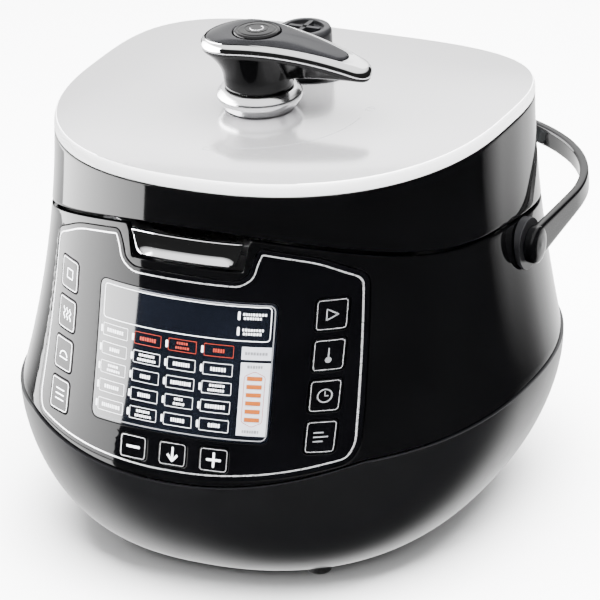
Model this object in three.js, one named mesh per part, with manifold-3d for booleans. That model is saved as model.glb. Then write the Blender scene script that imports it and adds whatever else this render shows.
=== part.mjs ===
// Electric pressure cooker: an oval, tapered housing with a sloping control panel, a round pot inside,
// a hinged lid with a turning lock knob and a folding carry handle.
// Millimetres, +Z up. Sizes are laid out from the pot's axis, and the whole is then moved along Y so that
// the origin is on the floor in the middle of the footprint, carry handle included.
// The control panel faces -Y, the lid hinge and the power inlet are at the rear, +Y.

import * as THREE from 'three';
import { mergeVertices } from 'three/addons/utils/BufferGeometryUtils.js';
import Module from 'manifold-3d';

const wasm = await Module();
wasm.setup();

// ---------- driving dimensions ----------

const ORIGIN_Y = 44;          // the footprint's middle, measured from the pot's axis
const GAP = 0.4;              // clearance between neighbouring pieces
const AROUND = 48;            // facets around an oval piece
const TURNED = 30;            // facets around a turned piece

// the oval skin: half width, front and rear reach from the pot axis, and where it is widest
const RIM_Z = 270;            // upper edge of the lid
const WAIST_Z = 98;           // seam between the housing and the base bowl
const RIM = { half: 146, front: 106, rear: 161, wide: 48, powFront: 2.3, powRear: 3.6 };
const WAIST = { half: 166, front: 149, rear: 215, wide: 30, powFront: 2.3, powRear: 2.3 };
const HOLLOW = 6;             // how much the wall dips inwards between the two
const LIP = 1.5;              // the bowl stands proud of the housing
const BOTTOM_R = 90;          // the bowl's reach where it would meet the floor
const BOWL_POWER = 1.85;
const DIP = 17;               // the waist seam drops this much under the panel
const DIP_HALF = 116;

const FLOOR_Z = 6;            // underside of the bowl, on its feet
const BOWL_WALL = 3;
const SHELL_WALL = 4;
const SKIRT_WALL = 3;
const SEAM_GAP = 3;           // dark gap between lid and housing
const COVER_EDGE_Z = 262;     // where the lid's silver cover starts
const DOME_Z = 278;           // top of the lid's dome

// pots
const POT_R = 95.5;           // outside of the removable pot
const POT_BOTTOM_Z = 64.5;
const POT_RIM_Z = 208;
const SEAT_Z = 205.5;         // step that the pot's rim rests on
const FLANGE_Z = 224;         // underside of the locking flange
const LUGS = 6;

// lid inside
const PLATE_Z = 216;          // underside of the pressure plate
const RING_Z = 220;           // underside of the locking ring
const LINER_Z = 246;
const VALVE_Y = 68;
const DISH_Y = 75;
const DISH_R = 34;
const FLOAT_Y = 38;

// lid hinge
const HINGE_Y = 168;
const HINGE_Z = 214;
const HINGE_PIN_R = 3.5;

// knob
const KNOB_TOP_Z = 329;
const KNOB_HEAD_R = 26;
const KNOB_HEAD_X = -11;      // the lever reaches past its axis on this side
const KNOB_TIP_R = 11;
const KNOB_TIP_X = 67;
const STEAM_BUTTON_R = 15;

// carry handle
const HANDLE_Y = 64.5;
const HANDLE_Z = 180;
const HANDLE_HALF = 158.4;    // middle of the side arms
const HANDLE_STRAIGHT = 62;
const HANDLE_BOW = 109;
const HANDLE_TILT = 4;        // degrees above level when folded back
const HANDLE_THICK = 6;
const HANDLE_TALL = 14.5;

// control panel
const PANEL_THICK = 2;
const PANEL_MARGIN = 5;       // below the lid seam
const WINDOW_HALF = 62;
const WINDOW_LOW = 112;
const WINDOW_HIGH = 197;
const BUTTON_X = 91;
const BUTTON_ROWS = [188, 163.6, 139.2, 114.8];
const KEY_Z = 99;
const KEY_PITCH = 28;
const KEY_CORNER = 2.5;

// ---------- helpers ----------

const rad = THREE.MathUtils.degToRad;
const lerp = THREE.MathUtils.lerp;

function material(color, roughness, metalness = 0, opacity = 1) {
  return new THREE.MeshStandardMaterial({ color, roughness, metalness, opacity, transparent: opacity < 1 });
}

const glossBlack = material(0x0a0a0b, 0.12);
const satinBlack = material(0x17181a, 0.45);
const darkGrey = material(0x2b2c2f, 0.5);
const silver = material(0xc9cbcd, 0.38, 0.3);
const chrome = material(0xd8dadc, 0.08, 1);
const steel = material(0xb4b6b8, 0.3, 1);
const aluminium = material(0xa6a8aa, 0.5, 1);
const nonStick = material(0x3a3a3d, 0.55, 0.4);
const silicone = material(0xd9d6cc, 0.7);
const rubber = material(0x1b1b1b, 0.9);
const smoked = material(0x101418, 0.05, 0, 0.9);
const circuit = material(0x1c4a32, 0.6);
const clear = material(0xbcc4c8, 0.15, 0, 0.6);

const group = new THREE.Group();

function add(name, geometry, mat) {
  const mesh = new THREE.Mesh(geometry, mat);
  mesh.name = name;
  group.add(mesh);
  return mesh;
}

// three.js geometry to manifold solid and back
function solid(geometry) {
  let g = geometry.clone();
  g.deleteAttribute('normal');
  g.deleteAttribute('uv');
  g = mergeVertices(g, 1e-4);
  const vertProperties = new Float32Array(g.attributes.position.array);
  const triVerts = new Uint32Array(g.index.array);
  return new wasm.Manifold(new wasm.Mesh({ numProp: 3, vertProperties, triVerts }));
}

function toGeometry(manifold) {
  const mesh = manifold.getMesh();
  const g = new THREE.BufferGeometry();
  g.setAttribute('position', new THREE.BufferAttribute(new Float32Array(mesh.vertProperties), 3));
  g.setIndex(new THREE.BufferAttribute(new Uint32Array(mesh.triVerts), 1));
  g.computeVertexNormals();
  return g;
}

function cut(geometry, ...tools) {
  return toGeometry(tools.reduce((body, tool) => body.subtract(solid(tool)), solid(geometry)));
}

function join(first, ...rest) {
  return toGeometry(rest.reduce((body, piece) => body.add(solid(piece)), solid(first)));
}

function common(first, second) {
  return toGeometry(solid(first).intersect(solid(second)));
}

// a solid of revolution about +Z, from [radius, height] pairs that run up the outside
function turned(profile, segments = TURNED) {
  const points = profile.map(([r, z]) => new THREE.Vector2(r, z));
  const closed = profile[0][0] > 0 ? [...points, points[0].clone()] : points;
  return new THREE.LatheGeometry(closed, segments).rotateX(Math.PI / 2);
}

function box(x0, x1, y0, y1, z0, z1) {
  const g = new THREE.BoxGeometry(x1 - x0, y1 - y0, z1 - z0);
  return g.translate((x0 + x1) / 2, (y0 + y1) / 2, (z0 + z1) / 2);
}

function rodZ(r, z0, z1, x = 0, y = 0, segments = 20) {
  const g = new THREE.CylinderGeometry(r, r, z1 - z0, segments).rotateX(Math.PI / 2);
  return g.translate(x, y, (z0 + z1) / 2);
}

function rodX(r, x0, x1, y, z, segments = 24) {
  const g = new THREE.CylinderGeometry(r, r, x1 - x0, segments).rotateZ(Math.PI / 2);
  return g.translate((x0 + x1) / 2, y, z);
}

// an extrusion along +X of a closed outline given as [y, z] pairs
function slabX(outline, x0, x1) {
  const shape = new THREE.Shape(outline.map(([y, z]) => new THREE.Vector2(y, z)));
  const g = new THREE.ExtrudeGeometry(shape, { depth: x1 - x0, bevelEnabled: false });
  g.applyMatrix4(new THREE.Matrix4().makeBasis(
    new THREE.Vector3(0, 1, 0), new THREE.Vector3(0, 0, 1), new THREE.Vector3(1, 0, 0)));
  return g.translate(x0, 0, 0);
}

// rings of equal length joined into one closed body; a loop of rings also joins last to first
function loft(rings, loop) {
  const count = rings[0].length;
  const position = rings.flat().flatMap((p) => [p.x, p.y, p.z]);
  const index = [];
  const spans = loop ? rings.length : rings.length - 1;
  for (let i = 0; i < spans; i++) {
    const a = i * count;
    const b = ((i + 1) % rings.length) * count;
    for (let k = 0; k < count; k++) {
      const n = (k + 1) % count;
      index.push(a + k, a + n, b + n, a + k, b + n, b + k);
    }
  }
  if (!loop) {
    for (const [start, flip] of [[0, true], [(rings.length - 1) * count, false]]) {
      const hub = position.length / 3;
      const ring = start ? rings[rings.length - 1] : rings[0];
      const c = ring.reduce((s, p) => s.add(p), new THREE.Vector3()).divideScalar(count);
      position.push(c.x, c.y, c.z);
      for (let k = 0; k < count; k++) {
        const n = (k + 1) % count;
        index.push(...(flip ? [hub, start + n, start + k] : [hub, start + k, start + n]));
      }
    }
  }
  const g = new THREE.BufferGeometry();
  g.setAttribute('position', new THREE.Float32BufferAttribute(position, 3));
  g.setIndex(index);
  return g;
}

const circle = (r, z, count = AROUND) => Array.from({ length: count }, (_, k) => {
  const a = (2 * Math.PI * k) / count;
  return new THREE.Vector3(r * Math.cos(a), r * Math.sin(a), z);
});

// ---------- the oval skin ----------

// the oval's numbers at height z, from the floor to the lid's rim
function oval(z) {
  if (z >= WAIST_Z) {
    const u = (z - WAIST_Z) / (RIM_Z - WAIST_Z);
    const dip = HOLLOW * 4 * u * (1 - u);
    const mix = (key) => lerp(WAIST[key], RIM[key], u);
    return {
      half: mix('half') - dip, front: mix('front') - dip, rear: mix('rear') - dip,
      wide: mix('wide'), powFront: mix('powFront'), powRear: mix('powRear'),
    };
  }
  const s = (1 - (1 - Math.max(z, 0) / WAIST_Z) ** BOWL_POWER) ** (1 / BOWL_POWER);
  const grow = (reach) => BOTTOM_R + (reach + LIP - BOTTOM_R) * s;
  const reach = { half: grow(WAIST.half), front: grow(WAIST.front), rear: grow(WAIST.rear) };
  return { ...WAIST, ...reach, wide: WAIST.wide * s };
}

// distance from the pot axis to the skin in one direction
function skinRadius(angle, z) {
  const o = oval(z);
  const c = Math.cos(angle);
  const s = Math.sin(angle);
  const inside = (r) => {
    const dy = r * s - o.wide;
    const reach = dy < 0 ? o.front + o.wide : o.rear - o.wide;
    const power = dy < 0 ? o.powFront : o.powRear;
    return Math.abs((r * c) / o.half) ** power + Math.abs(dy / reach) ** power < 1;
  };
  let low = 20;
  let high = 300;
  for (let i = 0; i < 40; i++) {
    const mid = (low + high) / 2;
    if (inside(mid)) low = mid;
    else high = mid;
  }
  return low;
}

// the seams drop in front, so heights near the waist follow them
function sag(x, y, z) {
  if (y > 0 || Math.abs(x) > DIP_HALF) return 0;
  const across = (1 - (x / DIP_HALF) ** 2) ** 1.1;
  const along = z < WAIST_Z ? (z / WAIST_Z) ** 3 : Math.max(0, 1 - (z - WAIST_Z) / 80) ** 2;
  return DIP * across * along;
}

// one ring of points on the skin, moved inwards by an inset
function skinRing(z, inset, count = AROUND) {
  return Array.from({ length: count }, (_, k) => {
    const angle = (2 * Math.PI * k) / count;
    const r = skinRadius(angle, z) - inset;
    const x = r * Math.cos(angle);
    const y = r * Math.sin(angle);
    return new THREE.Vector3(x, y, z - sag(x, y, z));
  });
}

// a wall that follows the skin between two insets and through the given heights
function skinWall(heights, outer, inner) {
  const up = heights.map((z) => skinRing(z, outer));
  const down = [...heights].reverse().map((z) => skinRing(z, inner));
  return loft([...up, ...down], true);
}

const WALL_HEIGHTS = [WAIST_Z, 118, 145, 180, 220];
const steps = (from, to) => [from, ...WALL_HEIGHTS.filter((z) => z > from + 1 && z < to - 1), to];

// the point of the skin in front of (x, z), and the direction straight out of it
function skinPoint(x, z) {
  const y = (px, pz) => {
    let low = -200;
    let high = 0;
    for (let i = 0; i < 40; i++) {
      const mid = (low + high) / 2;
      if (Math.hypot(px, mid) > skinRadius(Math.atan2(mid, px), pz + sag(px, mid, pz))) low = mid;
      else high = mid;
    }
    return low;
  };
  const here = new THREE.Vector3(x, y(x, z), z);
  const across = new THREE.Vector3(x + 4, y(x + 4, z), z).sub(here);
  const up = new THREE.Vector3(x, y(x, z + 4), z + 4).sub(here);
  return { point: here, out: across.cross(up).normalize() };
}

// a prism with the outline [u, v] standing on the skin at (x, z), its sides square to the skin
function prismOnSkin(shape, x, z, depth) {
  const { point, out } = skinPoint(x, z);
  const right = new THREE.Vector3(0, 0, 1).cross(out).normalize();
  const up = new THREE.Vector3().crossVectors(out, right);
  const g = new THREE.ExtrudeGeometry(shape, { depth: depth + 12, bevelEnabled: false, curveSegments: 2 });
  g.translate(0, 0, -depth);
  g.applyMatrix4(new THREE.Matrix4().makeBasis(right, up, out).setPosition(point));
  return g;
}

function roundedRect(w, h, r) {
  const s = new THREE.Shape();
  s.moveTo(-w / 2 + r, -h / 2);
  s.lineTo(w / 2 - r, -h / 2);
  s.absarc(w / 2 - r, -h / 2 + r, r, -Math.PI / 2, 0, false);
  s.lineTo(w / 2, h / 2 - r);
  s.absarc(w / 2 - r, h / 2 - r, r, 0, Math.PI / 2, false);
  s.lineTo(-w / 2 + r, h / 2);
  s.absarc(-w / 2 + r, h / 2 - r, r, Math.PI / 2, Math.PI, false);
  s.lineTo(-w / 2, -h / 2 + r);
  s.absarc(-w / 2 + r, -h / 2 + r, r, Math.PI, 1.5 * Math.PI, false);
  return s;
}

// the lid seam climbs towards the front
function seamZ(y) {
  return 205 - 0.13 * y + 0.0016 * Math.max(0, -5 - y) ** 2;
}

// everything above (or below) the seam, moved by an offset
function seamTool(offset, above) {
  const edge = [];
  for (let y = -200; y <= 260; y += y < 0 ? 15 : 65) edge.push([y, seamZ(y) + offset]);
  const far = above ? 500 : -50;
  const outline = [...edge, [edge[edge.length - 1][0], far], [-200, far]];
  return slabX(above ? outline : outline.reverse(), -260, 260);
}

// a prism along Y in front of the cooker, from an outline of [x, z] pairs
function frontPrism(outline, y0 = -200, y1 = -20) {
  const shape = new THREE.Shape(outline.map(([x, z]) => new THREE.Vector2(x, z)));
  const g = new THREE.ExtrudeGeometry(shape, { depth: y1 - y0, bevelEnabled: false });
  return g.rotateX(Math.PI / 2).translate(0, y1, 0);
}

// ---------- base ----------

const FOOT_R = 104;
const FEET = { foot_rear_right: 50, foot_rear_left: 130, foot_front_left: 230, foot_front_right: 310 };
const INLET = { x: 62, z: 44, w: 30, h: 23, depth: 24 };

function baseBowl() {
  const heights = [FLOOR_Z, 13, 24, 40, 64, WAIST_Z - GAP];
  const outside = heights.map((z) => skinRing(z, 0));
  const inside = [WAIST_Z - GAP, 64, 40, 24, 13, FLOOR_Z + BOWL_WALL].map((z) => skinRing(z, BOWL_WALL));
  const hole = [circle(88, FLOOR_Z + BOWL_WALL), circle(88, FLOOR_Z)];
  const y = skinPointRear(INLET.x, INLET.z);
  const g = INLET.w / 2 + GAP;
  const h = INLET.h / 2 + GAP;
  const opening = box(INLET.x - g, INLET.x + g, y - 60, y + 40, INLET.z - h, INLET.z + h);
  return cut(loft([...outside, ...inside, ...hole], true), opening);
}

// depth of the rear skin at (x, z)
function skinPointRear(x, z) {
  let low = 0;
  let high = 300;
  for (let i = 0; i < 40; i++) {
    const mid = (low + high) / 2;
    if (Math.hypot(x, mid) < skinRadius(Math.atan2(mid, x), z)) low = mid;
    else high = mid;
  }
  return low;
}

function addBase() {
  add('base_bowl', baseBowl(), satinBlack);
  add('base_plate', turned([[0, 6], [87.4, 6], [87.4, 9.5], [92, 9.5], [92, 11.5], [0, 11.5]]), darkGrey);
  for (const [name, degrees] of Object.entries(FEET)) {
    const profile = [[0, 0], [6.6, 0], [8, 1.2], [8, FLOOR_Z - GAP], [0, FLOOR_Z - GAP]];
    const foot = add(name, turned(profile, 20), rubber);
    foot.position.set(FOOT_R * Math.cos(rad(degrees)), FOOT_R * Math.sin(rad(degrees)), 0);
  }
  const { x, z, w, h, depth } = INLET;
  const y = skinPointRear(x, z) + 1;
  const block = box(x - w / 2, x + w / 2, y - depth, y + 20, z - h / 2, z + h / 2);
  const body = common(block, loft([12, 24, 40, 64, 90].map((level) => skinRing(level, -0.8)), false));
  const socket = box(x - w / 2 + 3, x + w / 2 - 3, y - depth + 6, y + 25, z - h / 2 + 3, z + h / 2 - 3);
  add('power_inlet', cut(body, socket), satinBlack);
}

// ---------- housing ----------

const PULL = { topHalf: 39, lowHalf: 34, low: 217, high: 232.5 };
const NOTCH = { half: 42.5, lowHalf: 37, low: 213.5 };
const CUP = { half: 32, low: 128, high: 160, front: 158 };

const panelBottom = (x) => 85.5 + 13.5 * (x / 111) ** 2;

// outline of the control panel, seen from the front, grown by an amount
function panelOutline(grow) {
  const right = [];
  for (let x = 0; x <= 100; x += 20) right.push([x, panelBottom(x) - grow]);
  right.push([107.5 + grow, 97.5 - grow]);
  right.push([113 + grow, 104 - grow]);
  right.push([108.5 + grow, 207 + grow]);
  right.push([103 + grow, 212.5 + grow]);
  for (let x = 88; x >= 58; x -= 10) right.push([x, panelTop(x) + grow]);
  right.push([47 - grow, panelTop(47) + grow]);
  right.push([44.5 - grow, 219 + grow]);
  right.push([35 - grow, 208.5 + grow]);
  const left = right.slice(1).reverse().map(([x, z]) => [-x, z]);
  return [...right, ...left];
}

// the panel's upper edge runs below the lid seam, whose height depends on how far forward the skin is
function panelTop(x) {
  const y = skinPoint(x, 220).point.y;
  return seamZ(y) - SEAM_GAP / 2 - PANEL_MARGIN;
}

const KEYS = [
  ...BUTTON_ROWS.map((z, i) => ({ name: `button_left_${i + 1}`, x: -BUTTON_X, z, w: 20, h: 20.5 })),
  ...BUTTON_ROWS.map((z, i) => ({ name: `button_right_${i + 1}`, x: BUTTON_X, z, w: 20, h: 20.5 })),
  ...['minus', 'down', 'plus'].map((word, i) => ({
    name: `button_${word}`, x: (i - 1) * KEY_PITCH, z: KEY_Z, w: 20, h: 16,
  })),
];

function keyPrism(key, grow) {
  const outline = roundedRect(key.w + 2 * grow, key.h + 2 * grow, KEY_CORNER + grow);
  return prismOnSkin(outline, key.x, key.z, 14);
}

const windowMid = (WINDOW_LOW + WINDOW_HIGH) / 2;
const windowTall = (WINDOW_HIGH - WINDOW_LOW) * 1.04;
const windowPrism = (grow) => prismOnSkin(
  roundedRect(2 * WINDOW_HALF + 2 * grow, windowTall + 2 * grow, 6), 0, windowMid, 40);

// the wall behind the panel is open at each row of buttons
function keyOpenings() {
  const opening = (x0, x1, z0, z1) => frontPrism([[x0, z0], [x1, z0], [x1, z1], [x0, z1]]);
  const low = BUTTON_ROWS[3] - 13.5;
  const high = BUTTON_ROWS[0] + 11.5;
  const reach = KEY_PITCH + 12;
  return [
    opening(BUTTON_X - 15, BUTTON_X + 11.5, low, high), opening(-BUTTON_X - 11.5, 15 - BUTTON_X, low, high),
    opening(-reach, reach, KEY_Z - 10, KEY_Z + 9.5)];
}

function bodyShell() {
  const wall = skinWall(steps(WAIST_Z + GAP, 255), 0, SHELL_WALL);
  const below = cut(wall, seamTool(-SEAM_GAP / 2, true));
  const recess = common(skinWall(steps(80, 255), -3, PANEL_THICK + GAP), frontPrism(panelOutline(GAP)));
  const { half, lowHalf, low } = NOTCH;
  const notch = frontPrism([[-lowHalf, low], [lowHalf, low], [half, 260], [-half, 260]], -200, -95);
  const cupHole = box(-CUP.half - GAP, CUP.half + GAP, 120, 240, CUP.low - GAP, CUP.high + GAP);
  return cut(below, recess, notch, cupHole, windowPrism(-4), ...keyOpenings());
}

function panelFascia() {
  const sheet = skinWall(steps(WAIST_Z - 14, 255), 0, PANEL_THICK);
  const patch = common(sheet, frontPrism(panelOutline(0)));
  return cut(patch, windowPrism(GAP), ...KEYS.map((key) => keyPrism(key, GAP)));
}

const keyCap = (key) => common(skinWall(steps(80, 255), -0.5, 7), keyPrism(key, 0));

// the deck closes the housing between the wall and the outer pot
function topDeck() {
  const under = 9;
  const thick = 2.5;
  const edge = (drop) => Array.from({ length: AROUND }, (_, k) => {
    const angle = (2 * Math.PI * k) / AROUND;
    let r = 110;
    for (let i = 0; i < 6; i++) r = skinRadius(angle, seamZ(r * Math.sin(angle)) - drop) - SHELL_WALL - 1;
    return new THREE.Vector3(r * Math.cos(angle), r * Math.sin(angle), seamZ(r * Math.sin(angle)) - drop);
  });
  const hole = (drop) => circle(104, 0).map((p) => p.setZ(seamZ(p.y) - drop));
  const plate = loft([hole(under + thick), edge(under + thick), edge(under), hole(under)], true);
  return cut(plate, box(-NOTCH.half, NOTCH.half, -140, -99, 150, 300));
}

function outerPot() {
  const body = turned([
    [30, 46], [97.8, 46], [97.8, 204], [103, 205], [103, FLANGE_Z], [105, FLANGE_Z], [105, FLANGE_Z + 3],
    [101.5, FLANGE_Z + 3], [101.5, SEAT_Z], [96.2, SEAT_Z], [96.2, 47.6], [30, 47.6]]);
  return join(body, ...lugs(98, 102, FLANGE_Z, FLANGE_Z + 3));
}

// bayonet lugs between two radii, evenly spaced
function lugs(r0, r1, z0, z1) {
  const span = rad(20);
  return Array.from({ length: LUGS }, (_, k) => {
    const mid = (2 * Math.PI * k) / LUGS;
    const shape = new THREE.Shape();
    shape.absarc(0, 0, r1, mid - span / 2, mid + span / 2, false);
    shape.absarc(0, 0, r0, mid + span / 2, mid - span / 2, true);
    const g = new THREE.ExtrudeGeometry(shape, { depth: z1 - z0, bevelEnabled: false, curveSegments: 2 });
    return g.translate(0, 0, z0);
  });
}

function innerPot() {
  const wall = 1.5;
  const bend = 16;
  const arc = (r, mid, from, to) => Array.from({ length: 5 }, (_, i) => {
    const a = lerp(from, to, i / 4);
    return [mid[0] + r * Math.cos(a), mid[1] + r * Math.sin(a)];
  });
  const centre = [POT_R - bend, POT_BOTTOM_Z + bend];
  return turned([
    [0, POT_BOTTOM_Z], ...arc(bend, centre, -Math.PI / 2, 0), [POT_R, POT_RIM_Z - 2], [97.4, POT_RIM_Z - 2],
    [97.4, POT_RIM_Z], [POT_R - wall, POT_RIM_Z], ...arc(bend - wall, centre, 0, -Math.PI / 2),
    [0, POT_BOTTOM_Z + wall]]);
}

function heaterPlate() {
  return turned([[14.5, 48], [88, 48], [90, 52], [88, 62.5], [14.5, 64]]);
}

// a board stands square to the panel, behind it
function controlBoard() {
  const slope = 16;
  return new THREE.BoxGeometry(104, 1.6, 64).rotateX(rad(-slope)).translate(0, -111.5, 156);
}

function handleLug(side) {
  const boss = rodX(17, 140, 154.8, HANDLE_Y, HANDLE_Z, 28);
  const skin = loft([150, 172, 190, 210].map((z) => skinRing(z, -2 * GAP)), false);
  const lug = cut(boss, skin, rodX(4.9, 130, 170, HANDLE_Y, HANDLE_Z, 20));
  return side < 0 ? mirrored(lug) : lug;
}

function mirrored(geometry) {
  const g = geometry.clone().applyMatrix4(new THREE.Matrix4().makeScale(-1, 1, 1));
  const corners = g.index.array;
  const flipped = Array.from(corners, (_, i) => corners[i % 3 === 0 ? i : i % 3 === 1 ? i + 1 : i - 1]);
  g.setIndex(flipped);
  return g;
}

const hingeCircle = (r, from, to, count) => Array.from({ length: count + 1 }, (_, i) => {
  const a = rad(lerp(from, to, i / count));
  return [HINGE_Y + r * Math.cos(a), HINGE_Z + r * Math.sin(a)];
});

function hingeBracket() {
  const under = (y) => seamZ(y) - 9 + GAP;
  const top = hingeCircle(9, 0, 150, 8);
  const outline = [[148, under(148)], [176, under(176)], [177, 205], ...top, [152, 196]];
  return cut(slabX(outline, -29, 29), rodX(HINGE_PIN_R + GAP, -40, 40, HINGE_Y, HINGE_Z, 20));
}

function condensateCup() {
  const back = skinPointRear(0, 144) + 3;
  const outer = box(-CUP.half, CUP.half, CUP.front, back, CUP.low, CUP.high);
  const shaped = common(outer, loft([110, 130, 150, 180].map((z) => skinRing(z, -2)), false));
  const inside = box(-CUP.half + 2, CUP.half - 2, CUP.front + 2, back - 12, CUP.low + 2, CUP.high + 20);
  return cut(shaped, inside);
}

function addHousing() {
  add('body_shell', bodyShell(), glossBlack);
  add('top_deck', topDeck(), satinBlack);
  add('panel_fascia', panelFascia(), glossBlack);
  add('display_window', common(skinWall(steps(90, 255), 0, 1.6), windowPrism(0)), smoked);
  for (const key of KEYS) add(key.name, keyCap(key), glossBlack);
  add('outer_pot', outerPot(), aluminium);
  add('inner_pot', innerPot(), nonStick);
  add('heater_plate', heaterPlate(), aluminium);
  add('support_ring', turned([[60, 12], [64, 12], [64, 45.6], [60, 45.6]]), steel);
  const sensor = [[0, 20], [3, 20], [3, 57.6], [12, 57.6], [12, 63], [11, 64], [0, 64]];
  add('sensor', turned(sensor, 24), aluminium);
  add('sensor_spring', turned([[6, 12], [8, 12], [8, 57.2], [6, 57.2]], 20), steel);
  add('control_board', controlBoard(), circuit);
  add('power_board', box(-45, 45, 139.2, 140.8, 30, 92), circuit);
  add('hinge_bracket', hingeBracket(), satinBlack);
  add('hinge_pin', rodX(HINGE_PIN_R, -41, 41, HINGE_Y, HINGE_Z, 20), steel);
  add('condensate_cup', condensateCup(), clear);
  for (const [side, word] of [[1, 'right'], [-1, 'left']]) {
    add(`handle_lug_${word}`, handleLug(side), satinBlack);
    const pin = rodX(4.5, 152, 163.4, HANDLE_Y, HANDLE_Z, 20);
    add(`handle_pin_${word}`, side < 0 ? mirrored(pin) : pin, steel);
  }
}

// ---------- carry handle ----------

// half of the handle's middle line in its own plane: [across, along] from the pivots
function handleLine(offset) {
  const line = [[HANDLE_HALF + offset, 0], [HANDLE_HALF + offset, HANDLE_STRAIGHT]];
  for (let a = 12; a <= 90; a += 13) {
    const x = (HANDLE_HALF + offset) * Math.cos(rad(a)) ** (2 / 2.2);
    const y = HANDLE_STRAIGHT + (HANDLE_BOW + offset) * Math.sin(rad(a)) ** (2 / 2.2);
    line.push([a === 90 ? 0 : x, y]);
  }
  return line;
}

function carryHandle() {
  const outer = handleLine(HANDLE_THICK / 2);
  const inner = handleLine(-HANDLE_THICK / 2);
  const half = (line) => [...line, ...line.slice(0, -1).reverse().map(([x, y]) => [-x, y])];
  const outline = [...half(outer), ...half(inner).reverse()];
  const shape = new THREE.Shape(outline.map(([x, y]) => new THREE.Vector2(x, y)));
  const band = new THREE.ExtrudeGeometry(shape, { depth: HANDLE_TALL, bevelEnabled: false });
  band.translate(0, 0, -HANDLE_TALL / 2);
  const eye = (side) => rodX(12, side * HANDLE_HALF - 3, side * HANDLE_HALF + 3, 0, 0);
  const hole = rodX(4.9, -200, 200, 0, 0, 20);
  const placed = cut(join(band, eye(1), eye(-1)), hole);
  return placed.rotateX(rad(HANDLE_TILT)).translate(0, HANDLE_Y, HANDLE_Z);
}

// ---------- lid ----------

function lidSkirt() {
  const wall = skinWall(steps(175, COVER_EDGE_Z - GAP), 0, SKIRT_WALL);
  const rearNotch = box(-42, 42, 130, 240, 150, 226);
  return cut(wall, seamTool(SEAM_GAP / 2, false), rearNotch);
}

// the float valve's pin runs through every plate of the lid
const floatHole = (z0, z1) => rodZ(3.2, z0, z1, 0, FLOAT_Y, 16);

// height of the dome above one point of the lid
function domeRing(share, drop) {
  return skinRing(RIM_Z, 0).map((p) => new THREE.Vector3(
    p.x * share, p.y * share, DOME_Z - (DOME_Z - RIM_Z) * share ** 4 - drop));
}

function lidTopCover() {
  const thick = 2.4;
  const hole = (z) => circle(18, z);
  const outer = [
    skinRing(COVER_EDGE_Z, 0), skinRing(RIM_Z - 3, 0), domeRing(0.98, 0), domeRing(0.85, 0), domeRing(0.6, 0),
    hole(DOME_Z)];
  const inner = [
    hole(DOME_Z - thick), domeRing(0.6, thick), domeRing(0.85, thick), domeRing(0.96, thick),
    skinRing(COVER_EDGE_Z, SKIRT_WALL)];
  const dishHole = rodZ(DISH_R, 240, 300, 0, DISH_Y, TURNED);
  return cut(loft([...outer, ...inner], true), dishHole, floatHole(240, 300));
}

function lidLiner() {
  const top = LINER_Z + 2.5;
  const edge = (z) => skinRing(z, SKIRT_WALL + 3 * GAP);
  const plate = loft([circle(18, LINER_Z), edge(LINER_Z), edge(top), circle(18, top)], true);
  return cut(plate, rodZ(6, 200, 260, 0, VALVE_Y), floatHole(200, 260));
}

// the plate that holds the pressure, with its posts up to the liner and the hub that the knob turns on
function pressurePlate() {
  const top = PLATE_Z + 3;
  const hub = { inner: 9, outer: 12.7, high: 297 };
  const plate = turned([
    [hub.inner, PLATE_Z], [92.5, PLATE_Z], [92.5, top],
    [hub.outer, top], [hub.outer, hub.high], [hub.inner, hub.high]]);
  const posts = [210, 330].map((degrees) => {
    const a = rad(degrees);
    return rodZ(5, top - 1, LINER_Z - GAP, 60 * Math.cos(a), 60 * Math.sin(a), 16);
  });
  return cut(join(plate, ...posts), rodZ(2.5, 200, 230, 0, VALVE_Y, 16), floatHole(200, 230));
}

function innerLid() {
  const disc = turned([
    [0, 210.6], [60, 210.6], [66, 209.4], [80.6, 209.4], [80.6, 210.8], [66, 210.8],
    [60, 212], [4, 212], [4, PLATE_Z + 1], [0, PLATE_Z + 1]]);
  return cut(disc, rodZ(5, 200, 230, 0, VALVE_Y, 16), floatHole(200, 230));
}

// seals the pressure plate against the pot's rim, and passes inside the lugs as the lid swings
function sealingRing() {
  const inner = 82;
  const outer = 96.4;
  const top = PLATE_Z - 0.5;
  const low = POT_RIM_Z + 0.5;
  return turned([[inner, low + 0.5], [90, low], [outer, low], [outer, top], [inner, top]], AROUND);
}

function lidPull() {
  const { topHalf, lowHalf, low, high } = PULL;
  const outline = [
    [-lowHalf + 3, low], [lowHalf - 3, low], [lowHalf, low + 3],
    [topHalf, high], [-topHalf, high], [-lowHalf, low + 3]];
  const plate = common(skinWall(steps(200, 255), -0.8, 3.2), frontPrism(outline));
  const root = frontPrism([[-28, low + 3], [28, low + 3], [28, LINER_Z - GAP], [-28, LINER_Z - GAP]]);
  const tongue = common(skinWall(steps(200, 255), 3, 6.2), root);
  const skirt = common(skinWall(steps(175, 261), -1, SKIRT_WALL + GAP), seamTool(0, true));
  return join(plate, cut(tongue, skirt));
}

function hingeArm(side) {
  const under = LINER_Z - GAP;
  const outline = [...hingeCircle(9, -100, 90, 10), [156, 227], [156, under], [136, under], [136, 230]];
  const arm = cut(slabX(outline, 29.6, 40), rodX(HINGE_PIN_R + GAP, 20, 50, HINGE_Y, HINGE_Z, 20));
  return side < 0 ? mirrored(arm) : arm;
}

function valveDish() {
  const r = DISH_R - 2 * GAP;
  const lip = r - 1.8;
  const dish = turned([
    [0, 268], [r - 4, 268], [r, 270], [r, 278.6], [lip, 278.6], [lip, 271.5], [r - 4.5, 270], [0, 270]]);
  return cut(dish.translate(0, DISH_Y, 0), rodZ(6, 250, 290, 0, VALVE_Y));
}

function steamPipe() {
  const low = PLATE_Z + 3 + GAP;
  return turned([[2.5, low], [5, low], [5, 287], [2.5, 287]], 20).translate(0, VALVE_Y, 0);
}

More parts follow.
